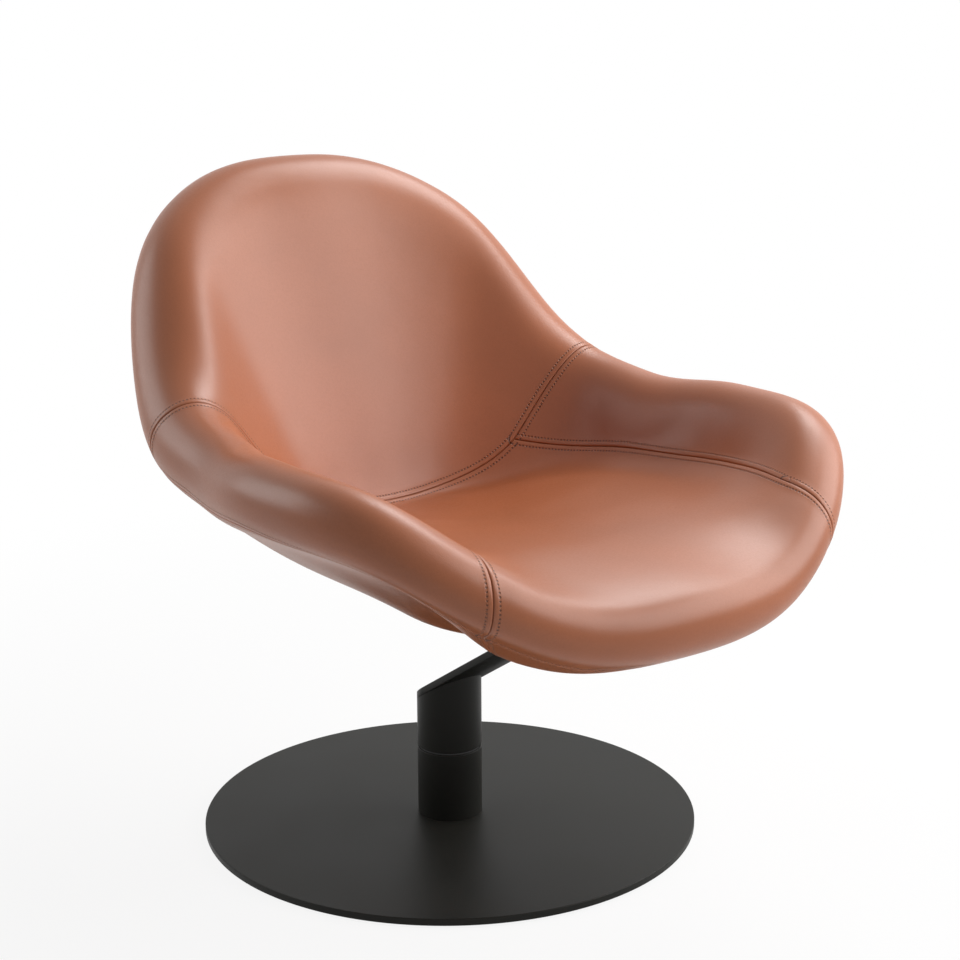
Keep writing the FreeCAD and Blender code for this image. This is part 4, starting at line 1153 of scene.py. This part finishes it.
def make_floor():
    """A white floor that keeps the chair's shadow and fades out into the background."""
    bm = bmesh.new()
    bmesh.ops.create_circle(bm, cap_ends=True, segments=96, radius=FLOOR_RADIUS)
    floor = placed("floor", into_mesh(bm, "floor"))
    finish = Finish("floor", "floor")
    speckle = finish.noise(90.0, 2.0, 0.5)
    away = finish.node("ShaderNodeVectorMath", {"operation": "LENGTH"}, {0: finish.place}, output="Value")
    finish.set(Base_Color=finish.mix(speckle, 0.99, 1.0), Roughness=0.9)
    lift = finish.node("ShaderNodeEmission", inputs={"Color": (1, 1, 1, 1), "Strength": 1.0})
    seen = finish.seen_rays() * finish.step(away, FLOOR_NEAR, FLOOR_FAR, FLOOR_LIFT, 1.0)
    mixed = finish.node("ShaderNodeMixShader", inputs={0: seen, 1: finish.shader, 2: lift})
    finish.put(finish.output.inputs["Surface"], mixed)
    floor.data.materials.append(finish.material)


def make_lights():
    """The dim room, white where it is seen, and the softboxes."""
    world = bpy.data.worlds.new("studio")
    bpy.context.scene.world = world
    room = Nodes(world)
    dim, white = [room.node("ShaderNodeBackground", inputs={"Color": (1, 1, 1, 1), "Strength": strength})
                  for strength in (ROOM_LIGHT, 1.0)]
    mixed = room.node("ShaderNodeMixShader", inputs={0: room.seen_rays(), 1: dim, 2: white})
    room.made("ShaderNodeOutputWorld", inputs={"Surface": mixed})
    for name, azimuth, elevation, width, height, power in LAMPS:
        lamp = bpy.data.lights.new(name, "AREA")
        lamp.shape = "RECTANGLE"
        lamp.size, lamp.size_y = width, height
        lamp.energy = power
        azimuth, elevation = math.radians(azimuth), math.radians(elevation)
        away = Vector((math.sin(azimuth) * math.cos(elevation), -math.cos(azimuth) * math.cos(elevation),
                       math.sin(elevation)))
        obj = placed(name, lamp)
        obj.location = LIT_PLACE + away * LAMP_REACH
        obj.rotation_euler = (-away).to_track_quat("-Z", "Y").to_euler()


def make_camera():
    data = bpy.data.cameras.new("camera")
    data.sensor_width = CAMERA_SENSOR
    data.lens = CAMERA_LENS
    camera = placed("camera", data)
    camera.location = CAMERA_PLACE
    look = Matrix.Rotation(-CAMERA_HEADING, 4, "Z") @ Matrix.Rotation(math.pi / 2 - CAMERA_PITCH, 4, "X")
    camera.rotation_euler = (look @ Matrix.Rotation(CAMERA_ROLL, 4, "Z")).to_euler()
    bpy.context.scene.camera = camera


# Settings that a user would change

def length(name, description, default):
    return bpy.props.FloatProperty(name=name, description=description, default=default * MM, min=0.0,
                                   precision=5, unit="LENGTH")


def colour(name, description, default):
    return bpy.props.FloatVectorProperty(name=name, description=description, default=default, size=3,
                                         min=0.0, max=1.0, subtype="COLOR")


class ArmchairSizes(bpy.types.PropertyGroup):
    """Sizes of the sewing and the steel."""

    panel_grid: length("Panel grid", "Spacing of a leather panel's rows", 8)
    swell: length("Swell", "How far the foam pushes a panel out between its seams", 3)
    leather: length("Leather", "Thickness of the leather with its backing", 2.4)
    seam_depth: length("Seam depth", "How deep the leather is pulled in at a seam", 1.2)
    seam_width: length("Seam width", "Half width of the pressed seam", 0.75)
    seam_band: length("Seam band", "How far the folded edges lift the leather between the stitches", 0.8)
    seam_ease: length("Seam ease", "How far the pad lies back beside a seam", 1.2)
    stitch_pull: length("Stitch pull", "How deep a row of stitches pulls the leather in", 0.5)
    stitch_offset: length("Stitch offset", "Rows of stitches beside a seam", 6.5)
    stitch_pitch: length("Stitch pitch", "From one stitch hole to the next", 4.2)
    stitch_length: length("Stitch length", "Thread that shows of one stitch", 2.5)
    thread: length("Thread", "Thread diameter", 0.8)
    pucker: length("Pucker", "How far the puckers stand out under the rim", 1.3)
    pucker_pitch: length("Pucker pitch", "From one pucker to the next", 6.5)
    steel_edge: length("Steel edge", "Rounding of the steel's edges", 0.8)
    tube_wall: length("Tube wall", "Wall of the column's tubes", 4)
    spindle_radius: length("Spindle", "Radius of the hole in the groove's ring", 12.53)
    bracket_height: length("Bracket height", "Bracket's underside over the floor at the column's axis", 162.6)
    bracket_thickness: length("Bracket thickness", "Thickness of the bracket's plate", 8)
    mount_height: length("Mount height", "Mount plate's underside over the floor at the seat's pole", 303)
    bracket_tilt: bpy.props.FloatProperty(name="Bracket tilt", description="How steeply the bracket rises",
                                          default=math.radians(32), subtype="ANGLE")


class ArmchairColours(bpy.types.PropertyGroup):
    """Colours of the finishes."""

    leather: colour("Leather", "Dyed leather", (0.395, 0.12, 0.046))
    thread: colour("Thread", "Stitching thread", (0.45, 0.17, 0.08))
    coated_steel: colour("Coated steel", "Powder coat", (0.012, 0.012, 0.010))
    bare_steel: colour("Bare steel", "Turned steel", (0.56, 0.56, 0.55))
    polymer: colour("Bearing plastic", "Bearing plastic", (0.035, 0.035, 0.035))
    felt: colour("Felt", "Felt glides", (0.07, 0.07, 0.075))
    plywood: colour("Plywood", "Moulded ply", (0.50, 0.34, 0.20))
    foam: colour("Foam", "Upholstery foam", (0.62, 0.58, 0.48))
    floor: colour("Floor", "Studio floor", (0.86, 0.86, 0.86))


class ARMCHAIR_OT_finishes(bpy.types.Operator):
    """Makes every finish and gives it to the part's own solids"""

    bl_idname = "armchair.finishes"
    bl_label = "Finishes"

    def execute(self, context):
        for name, (maker, *nodes) in FINISHES.items():
            finishes[name] = maker()
            for node in nodes:
                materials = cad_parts[node].data.materials
                materials.clear()
                materials.append(finishes[name])
        return {"FINISHED"}


class ARMCHAIR_OT_foot(bpy.types.Operator):
    """Turns the round foot plate"""

    bl_idname = "armchair.foot"
    bl_label = "Foot plate"

    def execute(self, context):
        make_foot_plate()
        return {"FINISHED"}


class ARMCHAIR_OT_column(bpy.types.Operator):
    """Turns the two column tubes and the groove between them"""

    bl_idname = "armchair.column"
    bl_label = "Swivel column"

    def execute(self, context):
        make_column()
        return {"FINISHED"}


class ARMCHAIR_OT_bracket(bpy.types.Operator):
    """Cuts the tilted bracket"""

    bl_idname = "armchair.bracket"
    bl_label = "Bracket"

    def execute(self, context):
        make_bracket()
        return {"FINISHED"}


class ARMCHAIR_OT_seat(bpy.types.Operator):
    """Sews the seat panel"""

    bl_idname = "armchair.seat"
    bl_label = "Seat panel"

    def execute(self, context):
        leather_panel("seat_panel", [seams["crease"], seams["front_rim"], seams["right_seat"],
                                     seams["left_seat"]], ["seat_cover", "seat_foam"])
        return {"FINISHED"}


class ARMCHAIR_OT_back(bpy.types.Operator):
    """Sews the back panel"""

    bl_idname = "armchair.back"
    bl_label = "Back panel"

    def execute(self, context):
        leather_panel("back_panel", [seams["crease"], seams["back_rim"].backward(), seams["right_shoulder"],
                                     seams["left_shoulder"]], ["back_cover", "back_foam"])
        return {"FINISHED"}


class ARMCHAIR_OT_arms(bpy.types.Operator):
    """Sews the two arm panels"""

    bl_idname = "armchair.arms"
    bl_label = "Arm panels"

    def execute(self, context):
        seam = seams["left_seat"]
        bend = (nearest(bucket.at([flat(*ARM_BEND)]), seam)[1] / seam.along[-1])[0]
        for side in ("left", "right"):
            inner, drop = seams[side + "_seat"].split(bend)
            leather_panel(side + "_arm_panel", [inner, seams[side + "_rim"].backward(),
                                                seams[side + "_shoulder"], drop],
                          [side + "_arm_cover", side + "_arm_foam"])
        return {"FINISHED"}


class ARMCHAIR_OT_underside(bpy.types.Operator):
    """Sews the panel under the bucket"""

    bl_idname = "armchair.underside"
    bl_label = "Underside"

    def execute(self, context):
        under_panel()
        return {"FINISHED"}


class ARMCHAIR_OT_stitching(bpy.types.Operator):
    """Lays two rows of stitches along every seam"""

    bl_idname = "armchair.stitching"
    bl_label = "Stitching"

    def execute(self, context):
        tree = surface_tree([bpy.data.objects[name + "_panel"]
                             for name in ("seat", "back", "left_arm", "right_arm", "under")])
        rows = {
            "crease_stitches": ("crease",),
            "left_stitches": ("left_seat", "left_shoulder"),
            "right_stitches": ("right_seat", "right_shoulder"),
            "rim_stitches": ("front_rim", "left_rim", "back_rim", "right_rim"),
            "belly_stitches": ("left_belly", "right_belly"),
        }
        for name, keys in rows.items():
            stitch_row(name, [(seams[key], side) for key in keys for side in (1, -1)], tree)
        return {"FINISHED"}


class ARMCHAIR_OT_stage(bpy.types.Operator):
    """Sets the floor, the soft light and the camera"""

    bl_idname = "armchair.stage"
    bl_label = "Stage"

    def execute(self, context):
        make_floor()
        make_lights()
        make_camera()
        return {"FINISHED"}


class ARMCHAIR_PT_panel(bpy.types.Panel):
    """The armchair's settings and its build steps"""

    bl_idname = "ARMCHAIR_PT_panel"
    bl_label = "Swivel Armchair"
    bl_space_type = "VIEW_3D"
    bl_region_type = "UI"
    bl_category = "Armchair"

    def draw(self, context):
        column = self.layout.column()
        for group in (context.scene.armchair_sizes, context.scene.armchair_colours):
            for name in group.__annotations__:
                column.prop(group, name)
        for operator in OPERATORS:
            column.operator(operator.bl_idname)


OPERATORS = (
    ARMCHAIR_OT_finishes,
    ARMCHAIR_OT_foot,
    ARMCHAIR_OT_column,
    ARMCHAIR_OT_bracket,
    ARMCHAIR_OT_seat,
    ARMCHAIR_OT_back,
    ARMCHAIR_OT_arms,
    ARMCHAIR_OT_underside,
    ARMCHAIR_OT_stitching,
    ARMCHAIR_OT_stage,
)
CLASSES = (ArmchairSizes, ArmchairColours) + OPERATORS + (ARMCHAIR_PT_panel,)


def register():
    for item in CLASSES:
        bpy.utils.register_class(item)
    bpy.types.Scene.armchair_sizes = bpy.props.PointerProperty(type=ArmchairSizes)
    bpy.types.Scene.armchair_colours = bpy.props.PointerProperty(type=ArmchairColours)


def unregister():
    del bpy.types.Scene.armchair_colours
    del bpy.types.Scene.armchair_sizes
    for item in reversed(CLASSES):
        bpy.utils.unregister_class(item)


def main():
    """Builds the whole armchair in order."""
    register()
    bpy.context.scene.view_settings.view_transform = "Standard"
    bpy.ops.armchair.finishes()
    bpy.ops.armchair.foot()
    bpy.ops.armchair.column()
    bpy.ops.armchair.bracket()
    bpy.ops.armchair.seat()
    bpy.ops.armchair.back()
    bpy.ops.armchair.arms()
    bpy.ops.armchair.underside()
    bpy.ops.armchair.stitching()
    bpy.ops.armchair.stage()


bucket = Bucket()
seams = lay_seams()

if __name__ == "__main__":
    main()
